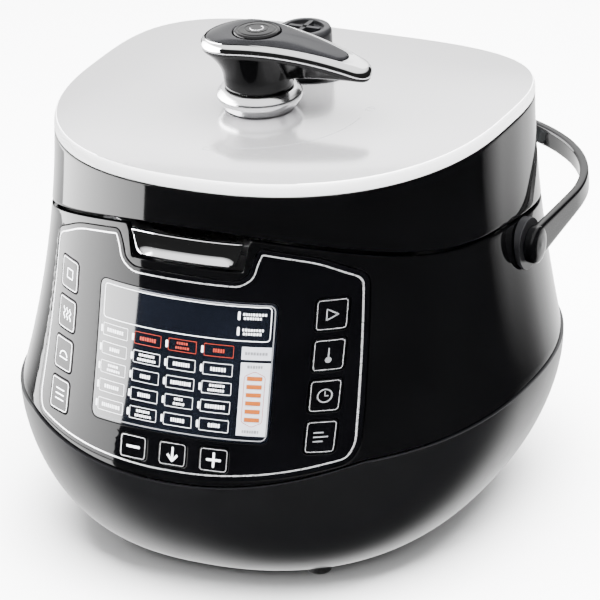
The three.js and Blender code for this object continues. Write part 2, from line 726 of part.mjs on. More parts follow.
function pressureValve() {
  const body = turned([
    [0, 288], [5.6, 288], [5.6, 274], [15.5, 274], [17.5, 277], [17.5, 305], [16, 307.5], [12, 307.5],
    [12, 304], [0, 304]], 28);
  const insert = [0, 90].map((a) => box(-11, 11, -1.6, 1.6, 303, 307).rotateZ(rad(a)));
  return join(body, ...insert).translate(0, VALVE_Y, 0);
}

function floatValve() {
  const r = 2.6;
  const collar = 4.2;
  const pin = turned([
    [0, 208.8], [r, 208.8], [r, 226], [collar, 226], [collar, 229], [r, 229], [r, 276], [0, 276]], 16);
  return pin.translate(0, FLOAT_Y, 0);
}

function addLid() {
  add('lid_skirt', lidSkirt(), glossBlack);
  add('lid_top_cover', lidTopCover(), silver);
  add('lid_liner', lidLiner(), satinBlack);
  add('lid_pull', lidPull(), chrome);
  add('pressure_plate', pressurePlate(), steel);
  add('inner_lid', innerLid(), steel);
  add('sealing_ring', sealingRing(), silicone);
  add('hinge_arm_right', hingeArm(1), satinBlack);
  add('hinge_arm_left', hingeArm(-1), satinBlack);
  add('valve_dish', valveDish(), satinBlack);
  add('steam_pipe', steamPipe(), steel);
  add('pressure_valve', pressureValve(), satinBlack);
  add('float_valve', floatValve(), steel);
  add('knob_collar', turned([
    [19.5, 278.4], [24, 278.4], [27, 284], [27, 288], [24, 292.6], [19.5, 292.6]]), chrome);
}

// ---------- knob ----------

// reach of the knob's outline from its axis: a round head that narrows to a round tip along +X
function knobReach(angle, inset) {
  let best = 0;
  for (let i = 0; i <= 40; i++) {
    const c = lerp(KNOB_HEAD_X, KNOB_TIP_X, i / 40);
    const r = lerp(KNOB_HEAD_R, KNOB_TIP_R, i / 40) - inset;
    const under = r * r - (c * Math.sin(angle)) ** 2;
    if (under >= 0) best = Math.max(best, c * Math.cos(angle) + Math.sqrt(under));
  }
  return best;
}

const knobTop = (x) => KNOB_TOP_Z - 0.0022 * x * x;

// angles bunch up towards the narrow tip
function knobRing(inset, drop) {
  return Array.from({ length: 40 }, (_, k) => {
    const t = (2 * Math.PI * k) / 40;
    const angle = t - 0.45 * Math.sin(t);
    const r = knobReach(angle, inset);
    const x = r * Math.cos(angle);
    return new THREE.Vector3(x, r * Math.sin(angle), knobTop(x) - drop);
  });
}

function knobCircle(r, z) {
  return knobRing(0, 0).map((p) => new THREE.Vector3(p.x, p.y, 0).setLength(r).setZ(z));
}

function knobBase() {
  const body = loft([
    knobCircle(17, 293.2), knobCircle(22, 293.2), knobCircle(22.6, 300), knobRing(3.5, 19), knobRing(1.2, 13),
    knobRing(1, 8.6), knobCircle(17, 317)], true);
  return body;
}

function knobRim() {
  return loft([knobRing(0.6, 8.2), knobRing(0, 6), knobRing(0.6, 3), knobRing(3, 3), knobRing(3, 8.2)], true);
}

function knobCover() {
  const hole = (z) => knobCircle(STEAM_BUTTON_R + 0.6, z);
  return loft([hole(320.8), knobRing(3.5, 8), knobRing(3.5, 2.6), knobRing(5.5, 1), hole(328.6)], true);
}

// a star-shaped carrier: hub, three spokes and a lugged rim
function lockingRing() {
  const rim = turned([[80, RING_Z], [92, RING_Z], [92, RING_Z + 3], [80, RING_Z + 3]], 48);
  const hub = turned([[13.2, RING_Z], [22, RING_Z], [22, RING_Z + 3], [13.2, RING_Z + 3]], 30);
  const spokes = [75, 195, 315].map((a) => box(20, 82, -5, 5, RING_Z, RING_Z + 3).rotateZ(rad(a)));
  return join(rim, hub, ...spokes, ...lugs(91, 97.2, RING_Z, RING_Z + 3));
}

function addKnob() {
  add('knob_base', knobBase(), glossBlack);
  add('knob_rim', knobRim(), chrome);
  add('knob_cover', knobCover(), darkGrey);
  const low = RING_Z + 3 + GAP;
  add('knob_shaft', turned([
    [13.2, low], [16.5, low], [16.5, 300], [4, 300], [4, 297.6], [13.2, 297.6]]), steel);
  add('locking_ring', lockingRing(), steel);
  const r = STEAM_BUTTON_R;
  add('steam_button', turned([
    [0, 288], [3, 288], [3, 319.5], [r, 319.5], [r, 329], [r - 1.5, 330.2], [0, 330.8]], 30), satinBlack);
  add('button_spring', turned([[7, 300.4], [9, 300.4], [9, 319], [7, 319]], 20), steel);
}

addBase();
addHousing();
add('carry_handle', carryHandle(), glossBlack);
addLid();
addKnob();
group.position.y = -ORIGIN_Y;

export default group;
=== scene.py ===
"""Looks for the electric pressure cooker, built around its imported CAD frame.

Sizes are in millimetres from the pot's axis until make() turns them into metres in the row frame.
"""

import math

import bmesh
import bpy
import numpy as np
from mathutils import Matrix, Vector
from mathutils.geometry import delaunay_2d_cdt
from mathutils.kdtree import KDTree


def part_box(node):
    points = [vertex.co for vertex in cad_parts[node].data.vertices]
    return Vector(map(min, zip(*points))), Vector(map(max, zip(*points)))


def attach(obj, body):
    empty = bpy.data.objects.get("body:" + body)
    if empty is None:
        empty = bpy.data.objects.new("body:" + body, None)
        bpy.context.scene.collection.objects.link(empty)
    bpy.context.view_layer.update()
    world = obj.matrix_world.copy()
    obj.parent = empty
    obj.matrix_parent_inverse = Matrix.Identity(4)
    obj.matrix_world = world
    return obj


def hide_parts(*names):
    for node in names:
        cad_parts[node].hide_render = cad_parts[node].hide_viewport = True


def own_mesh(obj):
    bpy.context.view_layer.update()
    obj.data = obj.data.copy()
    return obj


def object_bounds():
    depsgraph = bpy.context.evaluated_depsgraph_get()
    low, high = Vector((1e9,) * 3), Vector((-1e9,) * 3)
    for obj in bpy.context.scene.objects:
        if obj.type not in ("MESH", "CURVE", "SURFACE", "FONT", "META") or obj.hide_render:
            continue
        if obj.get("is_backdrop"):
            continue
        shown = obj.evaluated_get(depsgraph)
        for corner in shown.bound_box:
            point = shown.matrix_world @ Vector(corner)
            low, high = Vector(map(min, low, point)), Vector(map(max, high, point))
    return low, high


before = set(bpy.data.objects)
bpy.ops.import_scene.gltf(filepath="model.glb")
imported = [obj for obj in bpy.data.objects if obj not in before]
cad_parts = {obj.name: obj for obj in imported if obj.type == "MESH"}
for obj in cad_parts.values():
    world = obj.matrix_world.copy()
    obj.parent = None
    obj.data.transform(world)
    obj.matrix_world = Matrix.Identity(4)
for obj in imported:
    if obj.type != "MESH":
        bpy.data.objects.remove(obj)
cad_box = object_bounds()

MM = 0.001
ORIGIN_Y = 44.0
PI = math.pi

# ---------- the oval skin, as in the CAD ----------

RIM_Z, WAIST_Z = 270.0, 98.0
RIM = dict(half=146.0, front=106.0, rear=161.0, wide=48.0, pf=2.3, pr=3.6)
WAIST = dict(half=166.0, front=149.0, rear=215.0, wide=30.0, pf=2.3, pr=2.3)
HOLLOW, LIP, BOTTOM_R, BOWL_POWER = 6.0, 1.5, 90.0, 1.85
DIP, DIP_HALF = 17.0, 116.0
DOME_Z = 278.0


def oval(z):
    u = (z - WAIST_Z) / (RIM_Z - WAIST_Z)
    dip = HOLLOW * 4 * u * (1 - u)
    s = (1 - (1 - np.clip(z, 0, WAIST_Z) / WAIST_Z) ** BOWL_POWER) ** (1 / BOWL_POWER)
    high = z >= WAIST_Z
    out = {}
    for key in WAIST:
        up = WAIST[key] + (RIM[key] - WAIST[key]) * u
        if key in ("half", "front", "rear"):
            up, down = up - dip, BOTTOM_R + (WAIST[key] + LIP - BOTTOM_R) * s
        else:
            down = WAIST[key] * (s if key == "wide" else 1)
        out[key] = np.where(high, up, down)
    return out


def skin_r(angle, z):
    """Distance from the pot's axis to the skin, for arrays of angle and height."""
    angle, z = np.broadcast_arrays(np.asarray(angle, float), np.asarray(z, float))
    o, c, s = oval(z), np.cos(angle), np.sin(angle)
    low, high = np.full(angle.shape, 20.0), np.full(angle.shape, 300.0)
    for _ in range(34):
        mid = (low + high) / 2
        dy = mid * s - o["wide"]
        reach = np.where(dy < 0, o["front"] + o["wide"], o["rear"] - o["wide"])
        power = np.where(dy < 0, o["pf"], o["pr"])
        inside = np.abs(mid * c / o["half"]) ** power + np.abs(dy / reach) ** power < 1
        low, high = np.where(inside, mid, low), np.where(inside, high, mid)
    return low


def sag(x, y, z):
    across = np.clip(1 - (x / DIP_HALF) ** 2, 0, 1) ** 1.1
    below = (np.clip(z, 0, None) / WAIST_Z) ** 3
    along = np.where(z < WAIST_Z, below, np.clip(1 - (z - WAIST_Z) / 80, 0, 1) ** 2)
    return np.where(y > 0, 0, DIP * across * along)


def skin(angle, z, inset=0.0):
    """Points of the skin for angle and level, moved inwards by inset."""
    r = skin_r(angle, z) - inset
    x, y = r * np.cos(angle), r * np.sin(angle)
    return np.stack([x, y, z - sag(x, y, z) + 0 * x], -1)


def seam(y):
    return 205 - 0.13 * y + 0.0016 * np.clip(-5 - y, 0, None) ** 2


def seam_level(angle, offset):
    z = np.full(np.shape(angle), 205.0)
    for _ in range(8):
        z = seam(skin_r(angle, z) * np.sin(angle)) + offset
    return z


def front(x, z):
    """Angle and level on the front skin for what is seen at (x, z)."""
    x, z = np.asarray(x, float), np.asarray(z, float)
    y, level = np.full(x.shape, -110.0), z
    for _ in range(30):
        angle = np.arctan2(y, x)
        r = skin_r(angle, level)
        y = y + 0.7 * (-np.sqrt(np.clip(r * r - x * x, 1, None)) - y)
        level = level + 0.8 * (z + sag(x, y, level) - level)
    return np.arctan2(y, x), level


TABLE_X, TABLE_Z, TABLE_STEP = -128.0, 70.0, 2.0


def front_table():
    """The front skin and its outward direction on a grid of (x, z), which on_front reads between."""
    x, z = np.meshgrid(np.arange(TABLE_X, 129, TABLE_STEP), np.arange(TABLE_Z, 265, TABLE_STEP))
    here = skin(*front(x, z))
    out = np.cross(np.gradient(here, axis=1), np.gradient(here, axis=0))
    return here, out / np.linalg.norm(out, axis=-1, keepdims=True)


FRONT_SKIN, FRONT_OUT = front_table()


def on_front(points, out=0.0):
    """(x, z) pairs on the front skin, moved outwards by out."""
    p = np.asarray(points, float).reshape(-1, 2)
    u = np.clip((p[:, 0] - TABLE_X) / TABLE_STEP, 0, FRONT_SKIN.shape[1] - 1.001)
    v = np.clip((p[:, 1] - TABLE_Z) / TABLE_STEP, 0, FRONT_SKIN.shape[0] - 1.001)
    i, j = v.astype(int), u.astype(int)
    s, t = (v - i)[:, None], (u - j)[:, None]

    def read(table):
        low = table[i, j] * (1 - t) + table[i, j + 1] * t
        high = table[i + 1, j] * (1 - t) + table[i + 1, j + 1] * t
        return low * (1 - s) + high * s

    return read(FRONT_SKIN) + read(FRONT_OUT) * np.reshape(out, (-1, 1))


# ---------- meshes ----------

SHARP = math.radians(38)


def linked(name, data):
    """A new object in the scene."""
    obj = bpy.data.objects.new(name, data)
    bpy.context.scene.collection.objects.link(obj)
    return obj


def solid_mesh(name, verts, faces, weld=0.0):
    """A mesh in the row frame from points in millimetres, with its faces turned outwards."""
    me = bpy.data.meshes.new(name)
    v = np.asarray(verts, float) * MM - np.array([0, ORIGIN_Y * MM, 0])
    me.from_pydata(v.tolist(), [], [list(map(int, f)) for f in faces])
    bm = bmesh.new()
    bm.from_mesh(me)
    if weld:
        bmesh.ops.remove_doubles(bm, verts=bm.verts, dist=weld * MM)
    bmesh.ops.recalc_face_normals(bm, faces=bm.faces)
    bm.to_mesh(me)
    bm.free()
    return me


def shaded(obj):
    """Smooth, with normals that follow the large faces, so rounded edges don't shade their neighbours."""
    obj.data.shade_smooth()
    obj.data.set_sharp_from_angle(angle=SHARP)
    mod = obj.modifiers.new("normals", "WEIGHTED_NORMAL")
    mod.mode, mod.weight, mod.keep_sharp = "FACE_AREA", 100, True


def make(name, verts, faces, mat, body, replaces=(), slot=None, weld=0.0):
    """A piece that rides on a body."""
    obj = linked(name, solid_mesh(name, verts, faces, weld))
    obj.data.materials.append(mat)
    shaded(obj)
    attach(obj, body)
    if replaces:
        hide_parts(replaces)
    slot or SLOTS[mat]
    return obj


def band(a, b, closed=True):
    """Quads between two rows of as many vertex numbers."""
    n = len(a)
    return [(a[k], a[(k + 1) % n], b[(k + 1) % n], b[k]) for k in range(n if closed else n - 1)]


def grid_faces(rows, count, closed_rows=False):
    """Quads between rings of count points; the rings themselves close."""
    rings = [range(i * count, (i + 1) * count) for i in range(rows)]
    pairs = zip(rings, rings[1:] + rings[:1]) if closed_rows else zip(rings[:-1], rings[1:])
    return [face for a, b in pairs for face in band(a, b)]


def capped(rows, count):
    """Rings of count points as a closed solid."""
    last = (rows - 1) * count
    return grid_faces(rows, count) + [tuple(range(count - 1, -1, -1)), tuple(range(last, last + count))]


def joined(parts):
    """Several (verts, faces) as one."""
    faces, at = [], 0
    for v, f in parts:
        faces += [tuple(i + at for i in face) for face in f]
        at += len(v)
    return np.concatenate([v for v, _ in parts]), faces


def merged(name, parts, mat, body, **kw):
    return make(name, *joined(parts), mat, body, **kw)


def loft(name, rings, mat, body, closed=True, caps=False, **kw):
    """Rings of points joined into a skin: closed into a loop, capped at both ends, or open at the axis."""
    count = len(rings[0])
    faces = capped(len(rings), count) if caps else grid_faces(len(rings), count, closed)
    return make(name, np.concatenate(rings), faces, mat, body, **kw)


def ring(angles, r, z, centre=(0, 0)):
    """Points round the Z axis, or round a centre, at radius r and height z."""
    x, y = centre[0] + r * np.cos(angles), centre[1] + r * np.sin(angles)
    return np.stack([x, y, z + 0 * x], -1)


def rounded(profile, radius, steps=5):
    """A polyline with its corners rounded; a third number at a corner overrides the radius."""
    pts = [np.array(p[:2], float) for p in profile]
    out = [pts[0]]
    for i in range(1, len(pts) - 1):
        r = profile[i][2] if len(profile[i]) > 2 else radius
        a, b = pts[i - 1] - pts[i], pts[i + 1] - pts[i]
        la, lb = np.linalg.norm(a), np.linalg.norm(b)
        r = min(r, la * 0.45, lb * 0.45)
        if r <= 0:
            out.append(pts[i])
            continue
        p, q = pts[i] + a / la * r, pts[i] + b / lb * r
        for k in range(steps + 1):
            t = k / steps
            out.append((1 - t) ** 2 * p + 2 * t * (1 - t) * pts[i] + t * t * q)
    out.append(pts[-1])
    return out


# [radius, height] corners of the turned pieces; a third number is the rounding at that corner.
PROFILES = {
    "base_plate_disc": [(0, 6.0), (30, 6.0), (31.5, 7.2), (34, 7.2), (35.5, 6.0), (87.2, 6.0), (87.2, 9.5),
        (91.5, 9.5), (91.5, 11.3), (0, 11.3)],
    "foot": [(0, 0), (3.4, 0), (3.9, 0.5), (4.4, 0), (6.8, 0), (8, 1.4), (8, 5.6), (0, 5.6)],
    "pot_liner": [(30, 46), (97.6, 46), (97.6, 204), (103, 205.2), (103, 224.2), (104.8, 224.2),
        (104.8, 227), (98.4, 227), (98.4, 224.4), (101.6, 224.2), (101.6, 205.6), (96.4, 205.6),
        (96.4, 47.8), (30, 47.8)],
    "cooking_pot": [(0, 64.5), (80, 64.5, 14), (95.5, 64.5, 15), (95.5, 206), (97.4, 206), (97.4, 208),
        (94.3, 208), (94.0, 205), (94.0, 66, 14), (0, 66)],
    "pressure_plate_disc": [(9, 216), (92, 216, 1), (92.5, 219, 1), (12.7, 219), (12.7, 297), (9, 297)],
    "inner_lid_disc": [(0, 210.6), (10, 210.6, 2), (13, 209.6, 2), (22, 209.6, 2), (25, 210.6, 2),
        (58, 210.6, 3), (66, 209.4, 3), (80.6, 209.4, 0.5), (80.6, 210.8, 0.5), (66, 210.9, 3), (60, 212, 2),
        (4, 212), (4, 217), (0, 217)],
    "seal": [(82.2, 209.4, 1), (88, 208.9, 1), (90.5, 208.5, 1), (96.2, 208.5, 1.2), (96.3, 211, 0.8),
        (95.0, 212, 0.8), (96.3, 213, 0.8), (96.2, 215.4, 1.2), (82.2, 215.4, 1.2)],
    "valve_cap": [(0, 288), (5.6, 288), (5.6, 274), (15.4, 274), (17.5, 277.2), (17.5, 304.6, 1.6),
        (16.0, 307.4, 1.2), (12.6, 307.4, 0.8), (12.2, 304.0), (0, 304.0)],
    "collar_ring": [(19.6, 278.5), (22.4, 278.5, 0.5), (24.2, 281.0, 2), (27.2, 285.0, 3),
        (27.6, 288.0, 2.5), (25.6, 291.0, 2.5), (24.0, 292.5, 0.8), (19.6, 292.5)],
    "release_button_cap": [(0, 288), (3, 288), (3, 319.5), (14.9, 319.5), (14.9, 329.2, 1.2),
        (13.2, 330.2, 0.8), (12.2, 329.6, 0.5), (11.2, 330.2, 0.5), (8.0, 330.6, 0.4), (7.4, 330.1, 0.4),
        (6.8, 330.6, 0.4), (0, 330.8)],
}


def turned(name, mat, body, centre=(0, 0), radius=0.8, segments=96, profile=None, place=None, **kw):
    """A solid of revolution about +Z from its profile, rounded at the corners and then placed."""
    profile = profile or PROFILES[name]
    closed = profile[0][0] > 0
    line = rounded(profile + [profile[0]] if closed else profile, radius)
    angles = np.linspace(0, 2 * PI, segments, endpoint=False)
    rings = [ring(angles, max(r, 0.01), z, centre) for r, z in line]
    if place:
        rings = [np.stack(place(*points.T), -1) for points in rings]
    return loft(name, rings, mat, body, closed=False, weld=0.02, **kw)


def fillet(points, step=2.0):
    """A closed outline from (x, z, radius) corners, with points at most a step apart."""
    n, out = len(points), []
    for i in range(n):
        p = np.array(points[i][:2], float)
        a = np.array(points[i - 1][:2], float) - p
        b = np.array(points[(i + 1) % n][:2], float) - p
        la, lb = np.linalg.norm(a), np.linalg.norm(b)
        r = min(points[i][2], la * 0.48, lb * 0.48)
        if r <= 0.01:
            out.append(p)
            continue
        for k in range(7):
            t = k / 6
            out.append((1 - t) ** 2 * (p + a / la * r) + 2 * t * (1 - t) * p + t * t * (p + b / lb * r))
    fine = []
    for i, p in enumerate(out):
        q = out[(i + 1) % len(out)]
        m = max(1, int(math.ceil(np.linalg.norm(q - p) / step)))
        fine += [p + (q - p) * k / m for k in range(m)]
    return np.array(fine)


def rect(x, z, w, h, r, step=2.0):
    return fillet([(x - w / 2, z - h / 2, r), (x + w / 2, z - h / 2, r), (x + w / 2, z + h / 2, r),
                   (x - w / 2, z + h / 2, r)], step)


def inset(loop, d):
    """A counter-clockwise loop moved inwards by d."""
    ahead, back = np.roll(loop, -1, 0) - loop, loop - np.roll(loop, 1, 0)
    ahead /= np.linalg.norm(ahead, axis=1)[:, None] + 1e-9
    back /= np.linalg.norm(back, axis=1)[:, None] + 1e-9
    t = ahead + back
    t /= np.linalg.norm(t, axis=1)[:, None] + 1e-9
    return loop + np.stack([-t[:, 1], t[:, 0]], -1) * d


def within(points, loop):
    x, y = points[:, 0][:, None], points[:, 1][:, None]
    x0, y0 = loop[:, 0][None], loop[:, 1][None]
    x1, y1 = np.roll(loop, -1, 0)[:, 0][None], np.roll(loop, -1, 0)[:, 1][None]
    cross = ((y0 > y) != (y1 > y)) & (x < (x1 - x0) * (y - y0) / (y1 - y0 + 1e-12) + x0)
    return cross.sum(1) % 2 == 1


def fill(loops, spacing):
    """Triangles of the region inside the first loop and outside the others; loop points come first."""
    allp = np.concatenate(loops)
    lo, hi = loops[0].min(0), loops[0].max(0)
    gx, gy = np.meshgrid(np.arange(lo[0], hi[0], spacing), np.arange(lo[1], hi[1], spacing * 0.87))
    gx = gx + (np.arange(gx.shape[0]) % 2)[:, None] * spacing / 2
    g = np.stack([gx.ravel(), gy.ravel()], -1)

    def inside(p):
        ok = within(p, loops[0])
        for hole in loops[1:]:
            ok &= ~within(p, hole)
        return ok

    g = g[inside(g)]
    tree = KDTree(len(allp))
    for i, p in enumerate(allp):
        tree.insert((p[0], p[1], 0), i)
    tree.balance()
    g = np.array([p for p in g if tree.find((p[0], p[1], 0))[2] > 0.6 * spacing]).reshape(-1, 2)
    pts = np.concatenate([allp, g])
    edges, at = [], 0
    for loop in loops:
        n = len(loop)
        edges += [(at + i, at + (i + 1) % n) for i in range(n)]
        at += n
    v, _, tris, *_ = delaunay_2d_cdt([Vector(p) for p in pts], edges, [], 0, 1e-5)
    v = np.array([tuple(p) for p in v])
    tris = np.array([t for t in tris if len(t) == 3])
    return v, tris[inside(v[tris].mean(1))]


class Growing:
    """A mesh that grows by rows of points and by filled outlines."""

    def __init__(self):
        self.verts, self.faces, self.count = [], [], 0

    def points(self, points):
        """The vertex numbers of new points."""
        self.verts.append(points)
        self.count += len(points)
        return range(self.count - len(points), self.count)

    def rows(self, prev, rows, closed=True):
        """Quads from the vertex numbers prev through rows of new points; the last row's numbers."""
        for row in rows:
            now = self.points(row)
            self.faces += band(prev, now, closed)
            prev = now
        return prev

    def triangles(self, numbers, tris):
        self.faces += [tuple(numbers[i] for i in t) for t in tris]

    def make(self, name, mat, body, **kw):
        return make(name, np.concatenate(self.verts), self.faces, mat, body, **kw)


def plate(name, outline, holes, out, thick, mat, body, lift=None, edge=0.5, spacing=4.0, **kw):
    """A sheet on the front skin with rounded edges: outlines in (x, z), its face at out, thick deep."""
    def raised(p):
        return out + lift(p) if lift else out

    v2, tris = fill([inset(outline, edge)] + [inset(h, -edge) for h in holes], spacing)
    sheet = Growing()
    sheet.triangles(sheet.points(on_front(v2, raised(v2))), tris)
    full = [outline] + list(holes)
    start, rim = 0, []
    for base in full:
        sign = -1 if start else 1
        rows = [on_front(inset(base, sign * move), raised(inset(base, sign * edge)) + drop)
                for move, drop in ((edge * 0.3, -edge * 0.3), (0.0, -edge), (0.0, -thick))]
        rim += sheet.rows(range(start, start + len(base)), rows)
        start += len(base)
    back, back_tris = fill(full, spacing * 2)
    inner = back[len(rim):]
    rim += sheet.points(on_front(inner, raised(inner) - thick))
    sheet.triangles(rim, back_tris)
    return sheet.make(name, mat, body, **kw)


def bar_faces(n, closed):
    """Faces of a four-sided bar from its four long edges of n points, closed into a loop or capped."""
    edges = [range(a * n, (a + 1) * n) for a in range(4)]
    faces = [face for a in range(4) for face in band(edges[a], edges[(a + 1) % 4], closed)]
    return faces if closed else faces + [(0, n, 2 * n, 3 * n), (4 * n - 1, 3 * n - 1, 2 * n - 1, n - 1)]


def ribbon(loop, width, out, place=on_front, height=0.25, closed=True, lift=None):
    """A thin raised line of print or trim along a loop: (verts, faces)."""
    n = len(loop)
    if closed:
        lanes = [inset(loop, d) for d in (0, 0.12 * width, 0.88 * width, width)]
    else:
        t = np.gradient(loop, axis=0)
        t /= np.linalg.norm(t, axis=1)[:, None] + 1e-9
        side = np.stack([-t[:, 1], t[:, 0]], -1)
        lanes = [loop + side * d * width for d in (-0.5, -0.4, 0.4, 0.5)]
    rows = []
    for lane, h in zip(lanes, (-0.1, height, height, -0.1)):
        rows.append(place(lane, out + h + (lift(lane) if lift else 0)))
    return np.concatenate(rows), bar_faces(n, closed)


def blob(loop, out, place=on_front, height=0.15):
    """A small filled shape of print: (verts, faces)."""
    n = len(loop)
    inner = inset(loop, 0.12)
    if np.ptp(loop, axis=0).max() < 6:
        rows = [place(loop, out - 0.1), place(loop, out + height), place(inner, out + height + 0.05)]
        return np.concatenate(rows), capped(3, n)
    v2, tris = fill([inner], 3.0)
    rows = [place(loop, out - 0.1), place(loop, out + height), place(v2, out + height + 0.05),
            place(v2[n:], out - 0.1)]
    at = 2 * n + len(v2)
    faces = grid_faces(3, n) + [tuple(i + 2 * n for i in t) for t in tris]
    faces += [tuple(i if i < n else i - n + at for i in t[::-1]) for t in tris]
    return np.concatenate(rows), faces


def words(x, z, w, h, out, seed):
    """A line of small blocks that stands for a printed word."""
    rng = np.random.default_rng(seed)
    parts, at = [], x - w / 2
    while at < x + w / 2 - 0.6:
        wide = float(rng.uniform(0.8, 1.5))
        parts.append(blob(rect(at + wide / 2, z, wide, h, 0.25, 1.2), out))
        at += wide + 0.5
    return parts


def prism(loop, z0, z1):
    """An upright block with a flat outline: (verts, faces)."""
    n = len(loop)
    return np.concatenate([np.c_[loop, np.full(n, z)] for z in (z0, z1)]), capped(2, n)


def carve(obj, blocks):
    """Cut blocks out of a piece for good."""
    tool = linked("tool", solid_mesh("tool", *joined(blocks)))
    obj.modifiers.remove(obj.modifiers["normals"])
    cut = obj.modifiers.new("cut", "BOOLEAN")
    cut.operation, cut.solver, cut.object = "DIFFERENCE", "EXACT", tool
    done = bpy.data.meshes.new_from_object(obj.evaluated_get(bpy.context.evaluated_depsgraph_get()))
    obj.modifiers.remove(cut)
    used, obj.data = (obj.data, tool.data), done
    bpy.data.objects.remove(tool)
    for me in used:
        bpy.data.meshes.remove(me)
    shaded(obj)


def refine(node, mat, body, width, segments=2):
    """A CAD node's own shape with its edges rounded."""
    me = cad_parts[node].data.copy()
    bm = bmesh.new()
    bm.from_mesh(me)
    bmesh.ops.remove_doubles(bm, verts=bm.verts, dist=1e-6)
    bmesh.ops.dissolve_limit(bm, angle_limit=math.radians(1), verts=bm.verts, edges=bm.edges)
    bm.to_mesh(me)
    bm.free()
    me.materials.clear()
    me.materials.append(mat)
    me.shade_smooth()
    me.set_sharp_from_angle(angle=math.radians(30))
    obj = linked(node + "_detail", me)
    bevel = obj.modifiers.new("edge", "BEVEL")
    bevel.width, bevel.segments, bevel.limit_method = width * MM, segments, "ANGLE"
    bevel.angle_limit = math.radians(35)
    bevel.harden_normals = False
    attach(obj, body)
    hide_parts(node)


# ---------- materials ----------

def shader_node(tree, kind, **values):
    """A shader node with values on its sockets; an underscore stands for a space in a socket's name."""
    new = tree.nodes.new("ShaderNode" + kind)
    for socket, value in values.items():
        new.inputs[socket.replace("_", " ")].default_value = value
    return new


def ramp_node(tree, source, stops):
    """A colour ramp through (position, colour) stops."""
    ramp = shader_node(tree, "ValToRGB")
    for _ in stops[2:]:
        ramp.color_ramp.elements.new(0.5)
    for element, (position, colour) in zip(ramp.color_ramp.elements, stops):
        element.position, element.color = position, (*colour, 1)
    tree.links.new(source, ramp.inputs["Fac"])
    return ramp.outputs["Color"]


def material(name, color, rough, metal=0.0, coat=0.0, vary=0.04, scale=60.0, bump=0.0, grain=400.0,
             tint=0.0, spec=0.5, stretch=(1, 1, 1), ior=1.5, transmission=0.0, coat_rough=0.03):
    """A shader whose roughness and colour vary a little with noise in the piece's own space."""
    m = bpy.data.materials.new(name)
    m.use_nodes = True
    nt = m.node_tree
    link = nt.links.new
    b = nt.nodes["Principled BSDF"]
    for socket, value in (("Metallic", metal), ("Coat Weight", coat), ("Coat Roughness", coat_rough),
                          ("Specular IOR Level", spec), ("IOR", ior), ("Transmission Weight", transmission)):
        b.inputs[socket].default_value = value
    space = shader_node(nt, "Mapping", Scale=stretch)
    link(shader_node(nt, "TexCoord").outputs["Object"], space.inputs["Vector"])

    def noise(size, detail):
        new = shader_node(nt, "TexNoise", Scale=size, Detail=detail)
        link(space.outputs["Vector"], new.inputs["Vector"])
        return new.outputs["Fac"]

    mottle = noise(scale, 5)
    gloss = shader_node(nt, "MapRange", To_Min=max(rough - vary, 0.0), To_Max=rough + vary)
    link(mottle, gloss.inputs["Value"])
    link(gloss.outputs["Result"], b.inputs["Roughness"])
    shades = ((0.3, [c * (1 - tint) for c in color]), (0.7, [min(1, c * (1 + tint)) for c in color]))
    link(ramp_node(nt, mottle, shades), b.inputs["Base Color"])
    if bump:
        relief = shader_node(nt, "Bump", Strength=bump, Distance=0.0002)
        link(noise(grain, 3), relief.inputs["Height"])
        link(relief.outputs["Normal"], b.inputs["Normal"])
    return m


GLOSS = material("gloss_black", (0.0009, 0.0009, 0.001), 0.05, vary=0.02, scale=25, tint=0.2, spec=0.2)
PANEL = material("panel_black", (0.0008, 0.0008, 0.001), 0.045, vary=0.015, scale=30, tint=0.2, spec=0.13)
SATIN = material("satin_black", (0.005, 0.005, 0.0055), 0.34, vary=0.05, scale=80, bump=0.2, grain=1500,
                 tint=0.12, spec=0.3)
BOWL = material("bowl_satin", (0.0025, 0.0025, 0.0029), 0.3, vary=0.04, scale=60, bump=0.1, grain=1800,
                tint=0.1, spec=0.22)
SILVER = material("silver_paint", (0.56, 0.555, 0.565), 0.17, metal=0.85, coat=0.4, vary=0.02, scale=900,
                  tint=0.02, coat_rough=0.05, bump=0.02, grain=2500)
# A brighter, shinier copy of the silver paint for the lid cover's rounded rim: a painted highlight that
# stands for the rim's reflection. The rim is the same silver as the top.
RIM_PAINTED_SHEEN = material("rim_painted_sheen", (0.95, 0.95, 0.96), 0.3, metal=0.35, coat=0.4, vary=0.03, scale=900,
                      tint=0.02)
CHROME = material("chrome", (0.86, 0.86, 0.87), 0.05, metal=1.0, vary=0.02, scale=40, tint=0.01)
COLLAR = material("collar_satin", (0.8, 0.8, 0.81), 0.2, metal=1.0, vary=0.03, scale=80, tint=0.02)
TRIM = material("trim_silver", (0.5, 0.5, 0.51), 0.28, metal=0.7, vary=0.05, scale=300, tint=0.05)
INLAY = material("knob_inlay", (0.004, 0.004, 0.0045), 0.16, vary=0.03, scale=200, tint=0.1, spec=0.12)
DISPLAY = material("display_glass", (0.002, 0.0025, 0.004), 0.05, vary=0.01, scale=20, tint=0.3, spec=0.7)


def print_ink(name, color, rough=0.4, tint=0.06, **kw):
    return material("print_" + name, color, rough, vary=0.05, scale=300, tint=tint, **kw)


